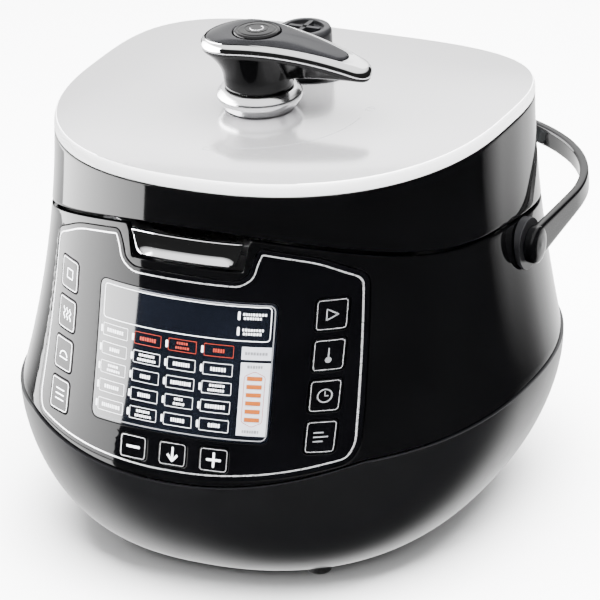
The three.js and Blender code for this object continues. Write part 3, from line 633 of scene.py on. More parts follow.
WHITE = print_ink("white", (0.62, 0.63, 0.65), tint=0.04, spec=0.3)
GREY = print_ink("grey", (0.12, 0.122, 0.13), spec=0.3)
RED = print_ink("red", (0.2, 0.014, 0.004), 0.5, spec=0.2)
AMBER = print_ink("amber", (0.2, 0.045, 0.002), 0.5, spec=0.2)
PALE = print_ink("pale", (0.32, 0.33, 0.36), tint=0.03, spec=0.3)
INK = print_ink("silver", (0.6, 0.61, 0.64), 0.3, tint=0.04, metal=0.8)
STEEL = material("brushed_steel", (0.55, 0.55, 0.56), 0.28, metal=1.0, vary=0.08, scale=120,
                 stretch=(1, 1, 30), tint=0.06, bump=0.06, grain=900)
POLISHED = material("lid_steel", (0.62, 0.62, 0.63), 0.18, metal=1.0, vary=0.05, scale=150, tint=0.04)
ALUMINIUM = material("aluminium", (0.6, 0.6, 0.61), 0.42, metal=1.0, vary=0.06, scale=200, tint=0.06,
                     bump=0.1, grain=1200)
NON_STICK = material("non_stick", (0.035, 0.035, 0.037), 0.42, metal=0.15, vary=0.06, scale=500, tint=0.25,
                     bump=0.2, grain=2500)
SILICONE = material("silicone", (0.66, 0.64, 0.58), 0.5, vary=0.08, scale=120, tint=0.04, bump=0.1, grain=800)
RUBBER = material("rubber", (0.02, 0.02, 0.02), 0.8, vary=0.08, scale=300, tint=0.2, bump=0.4, grain=1200)
BOARD = material("board", (0.015, 0.12, 0.05), 0.4, vary=0.1, scale=300, tint=0.3)
CUP = material("cup_plastic", (0.2, 0.215, 0.225), 0.3, vary=0.05, scale=150, tint=0.05, transmission=0.35,
               ior=1.45)
FLOOR = material("floor", (0.93, 0.93, 0.935), 0.55, vary=0.03, scale=3, tint=0.004, spec=0.2)

# The part's colour slot for each material, where a piece doesn't name its own.
SLOTS = {GLOSS: "gloss_black", PANEL: "gloss_black", SATIN: "satin_black", BOWL: "satin_black",
         CUP: "clear_cup", SILVER: "silver_paint", CHROME: "chrome", COLLAR: "chrome", TRIM: "chrome",
         INLAY: "dark_grey", STEEL: "steel", POLISHED: "steel", ALUMINIUM: "aluminium",
         NON_STICK: "non_stick", RUBBER: "rubber", SILICONE: "silicone"}
SLOTS.update({mat: "display" for mat in (DISPLAY, WHITE, GREY, RED, AMBER, PALE)})

# ---------- base ----------

AROUND = 288
ANGLES = np.linspace(0, 2 * PI, AROUND, endpoint=False) - PI / 2


def centre_of(node):
    """A CAD node's middle and size, in millimetres from the pot's axis."""
    lo, hi = (np.array(corner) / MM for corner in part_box(node))
    return (lo + hi) / 2 + np.array([0, ORIGIN_Y, 0]), hi - lo


def base_bowl():
    levels = 6 + 91.6 * np.linspace(0, 1, 46) ** 1.7
    rings = [skin(ANGLES, z) for z in levels[:-1]]
    rings += [skin(ANGLES, 97.3, 0.05), skin(ANGLES, 97.6, 0.5), skin(ANGLES, 97.6, 2.6)]
    rings += [skin(ANGLES, z, 3.0) for z in (97, 80, 60, 40, 24, 14, 10)]
    rings += [ring(ANGLES, 88, 9.0), ring(ANGLES, 88, 6.0)]
    bowl = loft("base_bowl_skin", rings, BOWL, "housing", replaces="base_bowl")
    (x, _, z), (wide, _, high) = centre_of("power_inlet")
    v, f = prism(rect(x, z, wide + 0.8, high + 0.8, 1.0), 120.0, 260.0)
    carve(bowl, [(v[:, [0, 2, 1]], f)])


def base_plate():
    disc = turned("base_plate_disc", SATIN, "housing", replaces="base_plate", slot="dark_grey")
    slots, across, along = [], *rect(0, 0, 2.6, 8.5, 1.3, 1.0).T
    for ring, count in ((48, 20), (62, 26), (76, 32)):
        for a in 2 * PI * np.arange(count) / count:
            c, s = math.cos(a), math.sin(a)
            slot = np.stack([(ring + along) * c - across * s, (ring + along) * s + across * c], -1)
            slots.append(prism(slot, 2.0, 14.0))
    carve(disc, slots)
    for name in ("foot_rear_right", "foot_rear_left", "foot_front_left", "foot_front_right"):
        cx, cy = centre_of(name)[0][:2]
        turned(name + "_pad", RUBBER, "housing", centre=(cx, cy), radius=0.35, segments=48, replaces=name,
               profile=PROFILES["foot"])


def inlet():
    (x, y, z), (_, deep, _) = centre_of("power_inlet")
    foot = y - deep / 2 + 5.9 - ORIGIN_Y
    refine("power_inlet", SATIN, "housing", width=0.8, segments=3)
    profile = [(0, 0), (1.9, 0), (1.9, 13), (1.3, 14.5), (0, 14.5)]
    for i, (dx, dz) in enumerate(((-7, -2.5), (0, 3), (7, -2.5))):
        pin = turned(f"inlet_pin_{i + 1}", CHROME, "housing", radius=0.4, segments=24, profile=profile)
        to_axis = Matrix.Translation((0, ORIGIN_Y * MM, 0))
        to_place = Matrix.Translation(((x + dx) * MM, foot * MM, (z + dz) * MM))
        pin.data.transform(to_place @ Matrix.Rotation(-PI / 2, 4, "X") @ to_axis)


# ---------- housing ----------

NOTCH_LOW = 213.5
TO_U = 150.0
LEFT_END, RIGHT_END = -1.25 * PI * TO_U, 0.75 * PI * TO_U


def panel_bottom(x):
    return 85.5 + 13.5 * (x / 111) ** 2


def panel_top(x):
    angle, level = front(np.array([x]), np.array([220.0]))
    y = skin(angle, level)[0, 1]
    return float(seam(y) - 6.5)


def panel_outline():
    right = [(x, panel_bottom(x), 10) for x in range(12, 96, 12)]
    right += [(108.5, 98.2, 9), (113, 108, 9), (108.5, 210, 7)]
    right += [(x, panel_top(x), 8) for x in (84, 68)]
    right += [(48.5, panel_top(48), 4), (45, 221, 3), (43, 213, 3), (36.5, 208.5, 5)]
    left = [(-x, z, r) for x, z, r in reversed(right)]
    return fillet(right + left, 1.8)


PANEL_LOOP = panel_outline()
WINDOW_LOOP = rect(0, 153.6, 123.6, 86.0, 6, 1.8)
# name, middle (x, z), width and height
KEYS = [(f"button_{word}_{row}", x, z, 17.6, 19.8)
        for row, z in enumerate((188, 163.6, 139.2, 114.8), 1) for word, x in (("left", -91), ("right", 91))]
KEYS += [(f"button_{word}", x, 99, 19.6, 15.4) for word, x in (("minus", -28), ("down", 0), ("plus", 28))]


def to_strip(loop):
    """An (x, z) outline on the front, as (angle * TO_U, level) from the front middle."""
    angle, level = front(loop[:, 0], loop[:, 1])
    return np.stack([(angle + PI / 2) * TO_U, level], -1)


def on_strip(points, out=0.0):
    return skin(points[:, 0] / TO_U - PI / 2, points[:, 1], -out + np.zeros(len(points)))


def rear(x, z, y):
    """Angle on the rear skin for what is seen at (x, z), starting from a guess of y."""
    for _ in range(20):
        y = np.sqrt(skin_r(np.arctan2(y, x), z) ** 2 - x * x)
    return np.arctan2(y, x)


def rear_strip(x0, x1, z0, z1, r):
    """A rounded rectangle on the rear, as (angle * TO_U, level)."""
    loop = rect((x0 + x1) / 2, (z0 + z1) / 2, x1 - x0, z1 - z0, r, 2.0)
    angle = rear(loop[:, 0], loop[:, 1], 190.0)
    return np.stack([(angle - 1.5 * PI) * TO_U, loop[:, 1]], -1)[::-1]


def split_wall(name, openings, bottom_fn, top_fn, depth, mat, body, spacing=4.0, **kw):
    """A wall round the cooker with openings: flat as (angle, level), then wrapped and welded."""
    u = np.linspace(LEFT_END, RIGHT_END, 421)
    a = u / TO_U - PI / 2
    zb, zt = bottom_fn(a), top_fn(a)
    t = np.linspace(0, 1, 30)[1:-1]
    right = np.stack([np.full(len(t), u[-1]), zb[-1] + (zt[-1] - zb[-1]) * t], -1)
    left = right[::-1].copy()
    left[:, 0] = u[0]
    outer = np.concatenate([np.stack([u, zb], -1), right, np.stack([u, zt], -1)[::-1], left])
    v2, tris = fill([outer] + openings, spacing)
    wall = Growing()
    wall.triangles(wall.points(on_strip(v2)), tris)
    low, high = range(len(u)), range(len(u) + len(t), 2 * len(u) + len(t))
    rims = [(low, outer[list(low)], np.array([0, -1])), (high, outer[list(high)], np.array([0, 1]))]
    start = len(outer)
    for opening in openings:
        rims.append((range(start, start + len(opening)), opening, None))
        start += len(opening)
    for numbers, line, way in rims:
        rows = [on_strip(inset(line, grow) if way is None else line + way * grow, -drop)
                for grow, drop in ((0.45, 0.15), (0.6, 0.6), (0.6, depth))]
        wall.rows(numbers, rows, way is None)
    grown = [outer.copy()] + [inset(opening, 0.6) for opening in openings]
    grown[0][list(low), 1] -= 0.6
    grown[0][list(high), 1] += 0.6
    back, back_tris = fill(grown, spacing * 1.6)
    wall.triangles(wall.points(on_strip(back, -depth)), back_tris)
    return wall.make(name, mat, body, weld=0.03, **kw)


def shell_top(a):
    top = seam_level(a, -2.1)
    xs = skin(a, top)[:, 0]
    w = np.clip((np.abs(xs) - 37) / 6.0, 0, 1)
    dip = NOTCH_LOW + (top - NOTCH_LOW) * (w * w * (3 - 2 * w))
    return np.where((np.sin(a) < 0) & (np.abs(xs) < 43), dip, top)


def housing():
    panel_hole = to_strip(inset(PANEL_LOOP, -0.9))
    cup_hole = rear_strip(-32.4, 32.4, 127.6, 160.4, 1.0)
    split_wall("housing_skin", [panel_hole, cup_hole], lambda a: np.full(a.shape, WAIST_Z + 1.0), shell_top,
               4.0, GLOSS, "housing", replaces="body_shell")


def key_loop(key, grow=0.0):
    _, x, z, w, h = key
    return rect(x, z, w + 2 * grow, h + 2 * grow, 3.2 + grow, 1.5)


def panel():
    holes = [WINDOW_LOOP] + [key_loop(k, 0.35) for k in KEYS]
    plate("panel_sheet", PANEL_LOOP, holes, 0.25, 2.0, PANEL, "housing", edge=0.45, spacing=3.6,
          replaces="panel_fascia")
    merged("panel_outline_trim", [ribbon(inset(PANEL_LOOP, 2.6), 1.0, 0.3, height=0.12)], TRIM, "housing")
    plate("display_sheet", inset(WINDOW_LOOP, 0.3), [], 0.1, 1.4, DISPLAY, "housing", edge=0.4, spacing=4,
          replaces="display_window")


def bars(x, z, w, h, out):
    return blob(rect(x, z, w, h, h * 0.45, 1.5), out)


def display_print():
    out = 0.14
    white, red, amber, pale, grey = [], [], [], [], []
    white.append(ribbon(rect(0, 183.2, 116, 21.5, 3.0, 2.0), 0.6, out, height=0.06))
    grey.append(ribbon(rect(0, 153.6, 120.5, 83.0, 5, 2.0), 0.8, out, height=0.05))
    for i, z in enumerate((188, 178.5)):
        white.append(bars(38, z, 1.6, 5.2, out))
        white += words(47.5, z + 1.0, 14, 1.5, out, i)
        white += words(46.5, z - 1.4, 11, 1.5, out, i + 5)
    for row in range(5):
        z = 165.6 - row * 11.4
        for col in range(4):
            x = -47.5 + col * 24.6
            ink = red if row == 0 and col > 0 else white
            ink.append(ribbon(rect(x, z, 19.5, 7.6, 0.8, 2.0), 0.34, out, height=0.05))
            white.append(bars(x - 10.8, z, 1.5, 4.4, out))
            long = 13.5 - ((row * 3 + col * 5) % 4) * 1.9
            if (row + col) % 3 == 2:
                ink += words(x + 0.3, z + 1.4, long * 0.85, 1.5, out, row * 9 + col)
                ink += words(x + 0.3, z - 1.4, long, 1.5, out, row * 7 + col)
            else:
                ink += words(x + 0.3, z, long, 2.3, out, row * 5 + col)
    pale.append(blob(rect(50.2, 165.4, 18.2, 7.8, 0.4, 2.0), out))
    pale.append(blob(rect(50.2, 137.6, 18.2, 44.4, 0.4, 2.0), out))
    for z, w in ((165.4, 14), (157.3, 10), (118.0, 11)):
        grey += words(50.2, z, w, 1.7, out + 0.2, int(w))
    lozenge = fillet([(50.2, 120.6, 1.5), (56.8, 123.6, 1.5), (56.8, 151.6, 1.5), (50.2, 154.8, 1.5),
                      (43.6, 151.6, 1.5), (43.6, 123.6, 1.5)], 1.5)
    red.append(ribbon(lozenge, 0.4, out + 0.2, height=0.04))
    for k in range(6):
        amber.append(blob(rect(50.2, 150.2 - k * 5.0, 9.4, 2.5, 0.3, 1.5), out + 0.2))
    for name, parts, mat in (("display_lines", white, WHITE), ("display_red_lines", red, RED),
                             ("display_bars", amber, AMBER), ("display_field", pale, PALE),
                             ("display_grey_lines", grey, GREY)):
        merged(name, parts, mat, "housing")


def stroke(points, width, out):
    p = np.array(points, float)
    fine = [p[0]]
    for a, b in zip(p[:-1], p[1:]):
        m = max(1, int(np.linalg.norm(b - a)))
        fine += [a + (b - a) * k / m for k in range(1, m + 1)]
    return ribbon(np.array(fine), width, out, height=0.12, closed=False)


def arc(x, z, r, a0, a1, count=24):
    return [(x + r * math.cos(k), z + r * math.sin(k)) for k in np.radians(np.linspace(a0, a1, count))]


def square(h):
    return [(-h, -h), (h, -h), (h, h), (-h, h), (-h, -h)]


def wave(x):
    return [(x + 0.8 * math.sin(t * 1.6), t) for t in np.linspace(-3.6, 3.6, 14)]


# Each sign is strokes of (width, lift, points), in millimetres from the middle of its key.
BOLD, FINE, LIFT = 1.5, 0.8, 0.02
SIGNS = {
    "button_minus": [(BOLD, 0, [(-4.8, 0), (4.8, 0)])],
    "button_plus": [(BOLD, 0, [(-4.8, 0), (4.8, 0)]), (BOLD, LIFT, [(0, -4.6), (0, 4.6)])],
    "button_down": [(BOLD, 0, [(0, 4.4), (0, -3.6)]), (BOLD, LIFT, [(-3.4, -0.4), (0, -4.2), (3.4, -0.4)])],
    "button_right_1": [(FINE, 0, [(-2.6, -3.4), (3.4, 0), (-2.6, 3.4), (-2.6, -3.4)])],
    "button_right_2": [(FINE, 0, [(0, -1.5), (0, 4.2)])],
    "button_right_3": [(FINE, 0, arc(0, 0, 3.8, 0, 360)), (0.8 * FINE, LIFT, [(0, 2.6), (0, 0), (1.9, 0)])],
    "button_right_4": [(FINE, 0, [(-4, d), (4 - abs(d), d)]) for d in (-2.6, 0, 2.6)],
    "button_left_1": [(FINE, 0, square(2.8))],
    "button_left_2": [(FINE, 0, wave(dx)) for dx in (-3, 0, 3)],
    "button_left_3": [(FINE, 0, [(-4, -2.6), (4, -2.6)]), (FINE, LIFT, arc(0, -2.0, 3.6, 10, 170))],
    "button_left_4": [(FINE, 0, [(-4, d), (4, d)]) for d in (-3, 0, 3)],
}


def symbol(name, x, z, out):
    parts = [stroke([(x + px, z + pz) for px, pz in points], width, out + lift)
             for width, lift, points in SIGNS[name]]
    if name == "button_right_2":
        parts.append(blob(np.array(arc(x, z - 3.0, 1.7, 0, 345, 20)), out))
    return parts


def keys():
    for key in KEYS:
        name, x, z = key[:3]
        loop = key_loop(key, -0.1)
        plate(name + "_cap", loop, [], 0.5, 6.0, PANEL, name, edge=0.6, spacing=2.2, replaces=name,
              lift=lambda p, x=x, z=z: -0.35 * np.exp(-((p[:, 0] - x) ** 2 + (p[:, 1] - z) ** 2) / 50))
        ink = WHITE if name in ("button_minus", "button_down", "button_plus") else INK
        merged(name + "_ring", [ribbon(inset(loop, 0.8), 0.5, 0.5, height=0.1)], TRIM, name)
        merged(name + "_symbol", symbol(name, x, z, 0.28), ink, name, slot="gloss_black")


# ---------- inside ----------

def deck():
    c, s = np.cos(ANGLES), np.sin(ANGLES)
    outer = np.full(AROUND, 110.0)
    for _ in range(8):
        outer = skin_r(ANGLES, seam(outer * s) - 9) - 5.0
    latch_gap = (np.abs(outer * c) < 43) & (s < 0)
    outer = np.where(latch_gap, np.minimum(outer, 98.5 / np.maximum(-s, 0.3) + 6), outer)
    rows = ((104.5, 9.4), (105.2, 9.0), (105.2 + (outer - 105.2) * 0.5, 9.0), (outer - 0.3, 9.0),
            (outer, 9.4), (outer, 11.4), (104.5, 11.4))
    rings = [ring(ANGLES, r, seam(r * s) - drop) for r, drop in rows]
    loft("deck_sheet", rings, SATIN, "housing", replaces="top_deck")


def pots():
    turned("pot_liner", ALUMINIUM, "housing", radius=0.5, segments=160, replaces="outer_pot")
    turned("cooking_pot", NON_STICK, "housing", radius=0.5, segments=160, replaces="inner_pot")
    marks = []
    for k in range(8):
        z, long = 92 + 12 * k, 0.09 if k % 2 else 0.16
        t = np.linspace(PI / 2 - long, PI / 2 + long, 12)
        lanes = [ring(t, 93.98 + dr, z + dz)
                 for dz, dr in ((-0.4, 0.02), (-0.35, -0.12), (0.35, -0.12), (0.4, 0.02))]
        marks.append((np.concatenate(lanes), bar_faces(12, False)))
    merged("pot_level_marks", marks, WHITE, "housing", slot="non_stick")


# ---------- handle ----------

HANDLE_Y, HANDLE_Z, HANDLE_HALF, STRAIGHT, BOW = 64.5, 180.0, 158.4, 62.0, 109.0


def handle():
    half = [(HANDLE_HALF, y) for y in np.linspace(4, STRAIGHT, 10)[:-1]]
    for a in np.radians(np.linspace(0.001, 90, 46)):
        half.append((HANDLE_HALF * max(math.cos(a), 0) ** (2 / 2.2),
                     STRAIGHT + BOW * math.sin(a) ** (2 / 2.2)))
    half[-1] = (0.0, STRAIGHT + BOW)
    line = np.array(half + [(-x, y) for x, y in reversed(half[:-1])])
    t = np.gradient(line, axis=0)
    t /= np.linalg.norm(t, axis=1)[:, None]
    n = np.stack([t[:, 1], -t[:, 0]], -1)
    section = fillet([(-3.0, -7.2, 2.4), (3.0, -7.2, 2.4), (3.0, 7.2, 2.4), (-3.0, 7.2, 2.4)], 3.0)
    tall = 1 + 0.6 * np.clip(1 - line[:, 1] / 75, 0, 1) ** 1.2
    rings = [np.array([[p[0] + m[0] * s, p[1] + m[1] * s, h * k] for s, h in section])
             for p, m, k in zip(line, n, tall)]
    tilt = math.radians(4)
    c, s = math.cos(tilt), math.sin(tilt)

    def place(v):
        x, y, z = v.T
        return np.stack([x, HANDLE_Y + y * c - z * s, HANDLE_Z + y * s + z * c], -1)

    loft("handle_bow", [place(r) for r in rings], GLOSS, "handle", closed=False, caps=True,
         replaces="carry_handle")
    for word, side in (("left", -1), ("right", 1)):
        eye = [(5.0, side * 155.4), (12.2, side * 155.4, 1.0), (12.2, side * 161.6, 1.6),
               (8.0, side * 162.6, 4.0), (0, side * 163.0), (0, side * 161.0), (5.0, side * 161.0)]
        axle(f"handle_eye_{word}", eye, GLOSS, "handle")
        refine(f"handle_lug_{word}", SATIN, "housing", width=0.7)
        pin = [(0, side * 152.0), (4.5, side * 152.0), (4.5, side * 160.5), (0, side * 160.5)]
        axle(f"handle_pin_{word}_rod", pin, STEEL, "housing", replaces=f"handle_pin_{word}")


def axle(name, profile, mat, body, **kw):
    """A solid of revolution about the handle's axis, from [radius, x] corners."""
    turned(name, mat, body, radius=0.6, segments=64, profile=profile,
           place=lambda y, z, x: (x, HANDLE_Y + y, HANDLE_Z + z), **kw)


# ---------- lid ----------

def skirt_low(a):
    z = seam_level(a, 1.5)
    xs = skin(a, z)[:, 0]
    return np.where((np.sin(a) > 0) & (np.abs(xs) < 42), 226.0, z)


def lid_shell():
    low_part = rear(np.array([-42.0, 42.0]), 200.0, 165.0)
    a = np.sort(np.r_[np.linspace(-PI / 2, 1.5 * PI, 400, endpoint=False), low_part - 0.0008,
                      low_part + 0.0008])
    zb, zt = skirt_low(a), np.full(a.shape, 261.6)
    lip, depth = 0.7, 3.0
    rings = [skin(a, zb, lip), skin(a, zb + lip * 0.3, lip * 0.3)]
    rings += [skin(a, zb + lip + (zt - zb - 2 * lip) * t) for t in np.linspace(0, 1, 40)]
    rings += [skin(a, zt - lip * 0.3, lip * 0.3), skin(a, zt, lip), skin(a, zt, depth)]
    rings += [skin(a, zt + (zb - zt) * t, depth) for t in (0.15, 0.35, 0.6, 0.85, 1)]
    loft("lid_skirt_skin", rings, GLOSS, "lid", replaces="lid_skirt")


def dome(p):
    angle = np.arctan2(p[:, 1], p[:, 0])
    share = np.hypot(p[:, 0], p[:, 1]) / skin_r(angle, RIM_Z)
    return DOME_Z - (DOME_Z - RIM_Z) * np.clip(share, 0, 1.05) ** 4


def on_dome(p, out=0.0):
    return np.c_[p, dome(p) + np.asarray(out)]


def circle(x, y, r, count=72):
    t = np.linspace(0, 2 * PI, count, endpoint=False)
    return np.stack([x + r * np.cos(t), y + r * np.sin(t)], -1)


DISH_Y, DISH_R, VALVE_Y, FLOAT_Y = 75.0, 34.0, 68.0, 38.0


def lid_cover():
    count, under = 360, 2.4
    a = np.linspace(0, 2 * PI, count, endpoint=False)
    edge = skin(a, RIM_Z, 1.7)[:, :2]
    holes = [circle(0, 0, 18), circle(0, DISH_Y, DISH_R - 0.3), circle(0, FLOAT_Y, 3.2, 32)]
    v2, tris = fill([edge] + [inset(h, -0.5) for h in holes], 5.0)
    sheet, start = Growing(), count
    sheet.triangles(sheet.points(on_dome(v2)), tris)
    for hole in holes:
        rows = [on_dome(inset(hole, grow), -drop) for grow, drop in ((-0.15, 0.15), (0, 0.5), (0, under))]
        sheet.rows(range(start, start + len(hole)), rows)
        start += len(hole)
    z_edge = float(dome(edge[:1])[0])
    roll = ((1.35, z_edge - 0.12), (1.05, z_edge - 0.5), (0.6, z_edge - 1.6), (0.25, z_edge - 3.0),
            (0.05, z_edge - 4.8), (0.0, 264.2), (0.15, 262.6), (0.6, 262.05), (2.8, 262.0), (3.0, 263.5),
            (3.2, z_edge - 2.6))
    sheet.rows(range(count), [skin(a, z, inwards) for inwards, z in roll])
    back, back_tris = fill([skin(a, RIM_Z, 3.3)[:, :2]] + holes, 12.0)
    sheet.triangles(sheet.points(on_dome(back, -under)), back_tris)
    cover = sheet.make("lid_cover_skin", SILVER, "lid", weld=0.15, replaces="lid_top_cover")
    # Faces below the cover's top edge, out at the rim, take the brighter copy of the silver: painted
    # highlight.
    cover.data.materials.append(RIM_PAINTED_SHEEN)
    for poly in cover.data.polygons:
        x, y, z = poly.center / MM
        if z < z_edge - 0.02 and math.hypot(x, y + ORIGIN_Y) > 100 and poly.normal.z > -0.5:
            poly.material_index = 1

    def line(points, closed=False):
        return ribbon(np.array(points), 0.5, 0.0, place=on_dome, height=0.04, closed=closed)

    lines = [line(arc(0, 0, 67.6, -78, 4, 60))]
    for x, y, end in ((67.6, 18.7, 180), (-2.1, -71.8, 130)):
        lines.append(line(rect(x, y, 5.6, 4.4, 0.6, 1.2), closed=True))
        lines.append(line([(x + 1.8 * math.cos(t), y + 2.4 + 2.2 * math.sin(t))
                           for t in np.radians(np.linspace(0, end, 14))]))
    merged("lid_lock_marks", lines, GREY, "lid", slot="silver_paint")


def lid_pull():
    low, high, top_half, low_half = 217.0, 232.3, 38.6, 34.0
    outline = fillet([(-low_half, low, 5), (low_half, low, 5), (top_half, high, 1.2), (-top_half, high, 1.2)],
                     1.5)

    def scoop(p):
        v = np.clip((p[:, 1] - low) / (high - low), 0, 1)
        side = np.clip((np.abs(p[:, 0]) - 24) / 12, 0, 1)
        hollow = 2.2 * np.sin(PI * v) ** 1.3 * (1 - 0.8 * side ** 2)
        return 0.9 - hollow + 0.5 * np.exp(-((v - 1) / 0.12) ** 2)

    plate("lid_pull_tab", outline, [], 0.0, 3.0, CHROME, "lid", lift=scoop, edge=0.6, spacing=1.8,
          replaces="lid_pull")


def lid_inside():
    sheet = [ring(ANGLES, 18, 246), skin(ANGLES, 246, 4.8), skin(ANGLES, 246.5, 4.2), skin(ANGLES, 248, 4.2),
             skin(ANGLES, 248.5, 4.8), ring(ANGLES, 18, 248.5)]
    loft("liner_sheet", sheet, SATIN, "lid", replaces="lid_liner")
    turned("pressure_plate_disc", STEEL, "lid", radius=0.4, segments=128, replaces="pressure_plate")
    turned("inner_lid_disc", POLISHED, "lid", radius=0.5, segments=128, replaces="inner_lid")
    turned("seal", SILICONE, "lid", radius=0.6, segments=160, replaces="sealing_ring")
    for node in ("hinge_arm_right", "hinge_arm_left"):
        refine(node, SATIN, "lid", width=0.7)
    refine("hinge_bracket", SATIN, "housing", width=0.7)
    refine("condensate_cup", CUP, "cup", width=0.6)


def lying(z, rise=1):
    """Puts outlines flat at height z."""
    return lambda p, out: np.c_[p, z + np.zeros(len(p)) + np.asarray(out) * rise]


def valves():
    r = DISH_R - 0.9
    dish = [(0, 268), (r - 4, 268), (r, 270), (r, 277.9, 0.6), (r - 1.9, 277.9, 0.6), (r - 2.4, 272.2, 2.5),
            (r - 6, 270.2, 2.5), (0, 270.2)]
    turned("dish_bowl", SATIN, "lid", centre=(0, DISH_Y), radius=0.6, segments=96, replaces="valve_dish",
           profile=dish)
    # A flat black patch lying on the dish where a dark slot shows: painted shade of a recess, with no cut in
    # the dish.
    merged("dish_painted_shade_patch", [blob(rect(16, 93, 9, 2.6, 1.2, 1.0), 0, place=lying(270.25))], GLOSS, "lid",
           slot="satin_black")
    turned("valve_cap", SATIN, "valve", centre=(0, VALVE_Y), radius=0.7, segments=80,
           replaces="pressure_valve")
    bar = rect(0, 0, 22, 3.2, 1.2, 1.2)
    cross = [blob(loop + np.array([0, VALVE_Y]), 0, place=lying(303.9, 14), height=0.2)
             for loop in (bar, bar[::-1, ::-1])]
    merged("valve_cross", cross, INLAY, "valve")
    turned("collar_ring", COLLAR, "lid", radius=0.5, segments=128, replaces="knob_collar")


# ---------- knob ----------

HEAD_R, HEAD_X, TIP_R, TIP_X, TOP_Z = 26.0, -11.0, 11.0, 67.0, 329.0
KA = np.linspace(0, 2 * PI, 200, endpoint=False)
KNOB_ANGLES = KA - 0.45 * np.sin(KA)


def reach(inset_by, head=HEAD_R, tip=TIP_R, tip_x=TIP_X):
    """How far the lever's outline, a tapering round-ended bar, reaches from the axis at each angle."""
    best = np.zeros(KNOB_ANGLES.shape)
    for t in np.linspace(0, 1, 120):
        c, r = HEAD_X + (tip_x - HEAD_X) * t, head + (tip - head) * t - inset_by
        under = r * r - (c * np.sin(KNOB_ANGLES)) ** 2
        hit = c * np.cos(KNOB_ANGLES) + np.sqrt(np.clip(under, 0, None))
        best = np.where(under >= 0, np.maximum(best, hit), best)
    return best


def knob_ring(inset_by, drop, **kw):
    r = reach(inset_by, **kw)
    x = r * np.cos(KNOB_ANGLES)
    return np.stack([x, r * np.sin(KNOB_ANGLES), TOP_Z - 0.0022 * x * x - drop], -1)


def knob_circle(r, z):
    return ring(KNOB_ANGLES, r, z)


def knob():
    neck, flare = knob_circle(22.4, 298.5), knob_ring(1.6, 11.0)
    rings = [knob_circle(*row) for row in ((17, 293.3), (21.6, 293.3), (22, 293.8), (22.1, 296.0))]
    for t in np.linspace(0, 1, 18):
        w = t ** 1.5
        mix = neck * (1 - w) + flare * w
        mix[:, 2] = neck[:, 2] * (1 - t ** 0.7) + flare[:, 2] * t ** 0.7
        rings.append(mix)
    rings += [knob_ring(*row) for row in ((0.9, 9.9), (0.7, 9.0), (1.2, 8.6))] + [knob_circle(17, 317)]
    loft("knob_body", rings, GLOSS, "knob", replaces="knob_base")
    inlay = dict(head=23.2, tip=8.4, tip_x=54.0)
    rim = [knob_ring(*row) for row in ((1.2, 8.4), (0.3, 8.2), (0.0, 7.4), (0.0, 5.4), (0.5, 4.0),
                                       (1.3, 3.0), (2.2, 2.5), (2.6, 2.4))]
    low, high = knob_ring(2.6, 2.4), knob_ring(-0.3, 2.5, **inlay)
    for t in (0.25, 0.5, 0.75, 1.0):
        rim.append(low * (1 - t) + high * t + np.array([0, 0, 0.6 * math.sin(PI * t)]))
    rim += [knob_ring(-0.1, 3.4, **inlay), knob_ring(0.0, 7.6, **inlay), knob_ring(3.4, 8.2)]
    loft("knob_chrome_rim", rim, CHROME, "knob", replaces="knob_rim")
    top = [knob_circle(15.7, 320.9)]
    top += [knob_ring(*row, **inlay) for row in ((0.8, 7.8), (0.2, 7.0), (0.2, 2.9), (0.8, 1.9), (1.8, 1.2))]
    edge, hub = knob_ring(1.8, 1.2, **inlay), knob_circle(16.4, 328.9)
    for t in (0.2, 0.4, 0.6, 0.8, 1.0):
        mix = edge * (1 - t) + hub * t
        mix[:, 2] += 0.7 * math.sin(PI * t)
        top.append(mix)
    top += [knob_circle(15.8, 328.5), knob_circle(15.7, 327.5)]
    loft("knob_inlay_cover", top, INLAY, "knob", replaces="knob_cover")
    turned("release_button_cap", GLOSS, "release_button", radius=0.4, segments=96, replaces="steam_button",
           slot="satin_black")
    mark = ribbon(np.array(arc(0, 0, 4.2, 200, 430, 40)), 0.7, 0.05, place=lying(330.7), height=0.06,
                  closed=False)
    merged("release_button_mark", [mark], TRIM, "release_button")


def coil(name, radius, z0, z1, turns, body):
    """A coil spring of round wire between two heights, with a flat turn at each end."""
    wire, per_turn, around, flat_end = 0.8, 32, 10, 0.9
    up = np.array([0, 0, 1])
    rings = []
    for turn in np.linspace(0, turns, turns * per_turn + 1):
        rise = np.clip((turn - flat_end) / (turns - 2 * flat_end), 0, 1)
        out = np.array([math.cos(2 * PI * turn), math.sin(2 * PI * turn), 0.0])
        middle = out * radius + up * (z0 + wire + (z1 - z0 - 2 * wire) * rise)
        rings.append([middle + wire * (math.cos(b) * out + math.sin(b) * up)
                      for b in np.linspace(0, 2 * PI, around, endpoint=False)])
    obj = loft(name + "_coil", rings, STEEL, body, closed=False, caps=True, replaces=name)
    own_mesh(obj)


def springs():
    coil("sensor_spring", 7.0, 12.0, 57.2, 9, "housing")
    coil("button_spring", 8.0, 300.4, 319.0, 5, "knob")


def plain_nodes():
    """CAD nodes that are shown as they are."""
    looks = {ALUMINIUM: ("heater_plate", "sensor"), BOARD: ("control_board", "power_board"),
             STEEL: ("support_ring", "hinge_pin", "steam_pipe", "float_valve", "knob_shaft", "locking_ring")}
    for mat, nodes in looks.items():
        for node in nodes:
            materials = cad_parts[node].data.materials
            materials.clear()
            materials.append(mat)


base_bowl()
base_plate()
inlet()
housing()
panel()
display_print()
keys()
deck()
pots()
handle()
lid_shell()
lid_cover()
lid_pull()
lid_inside()
valves()
knob()
springs()
plain_nodes()

# ---------- camera, light and floor ----------

VIEW_AZ, VIEW_EL, VIEW_ROLL = 26.43, 23.76, 2.57
LENS, SENSOR = 322.1, 36.0
CAMERA_AT, FIT_SCALE = (1365.9, -2705.8, 1471.8), 1.04


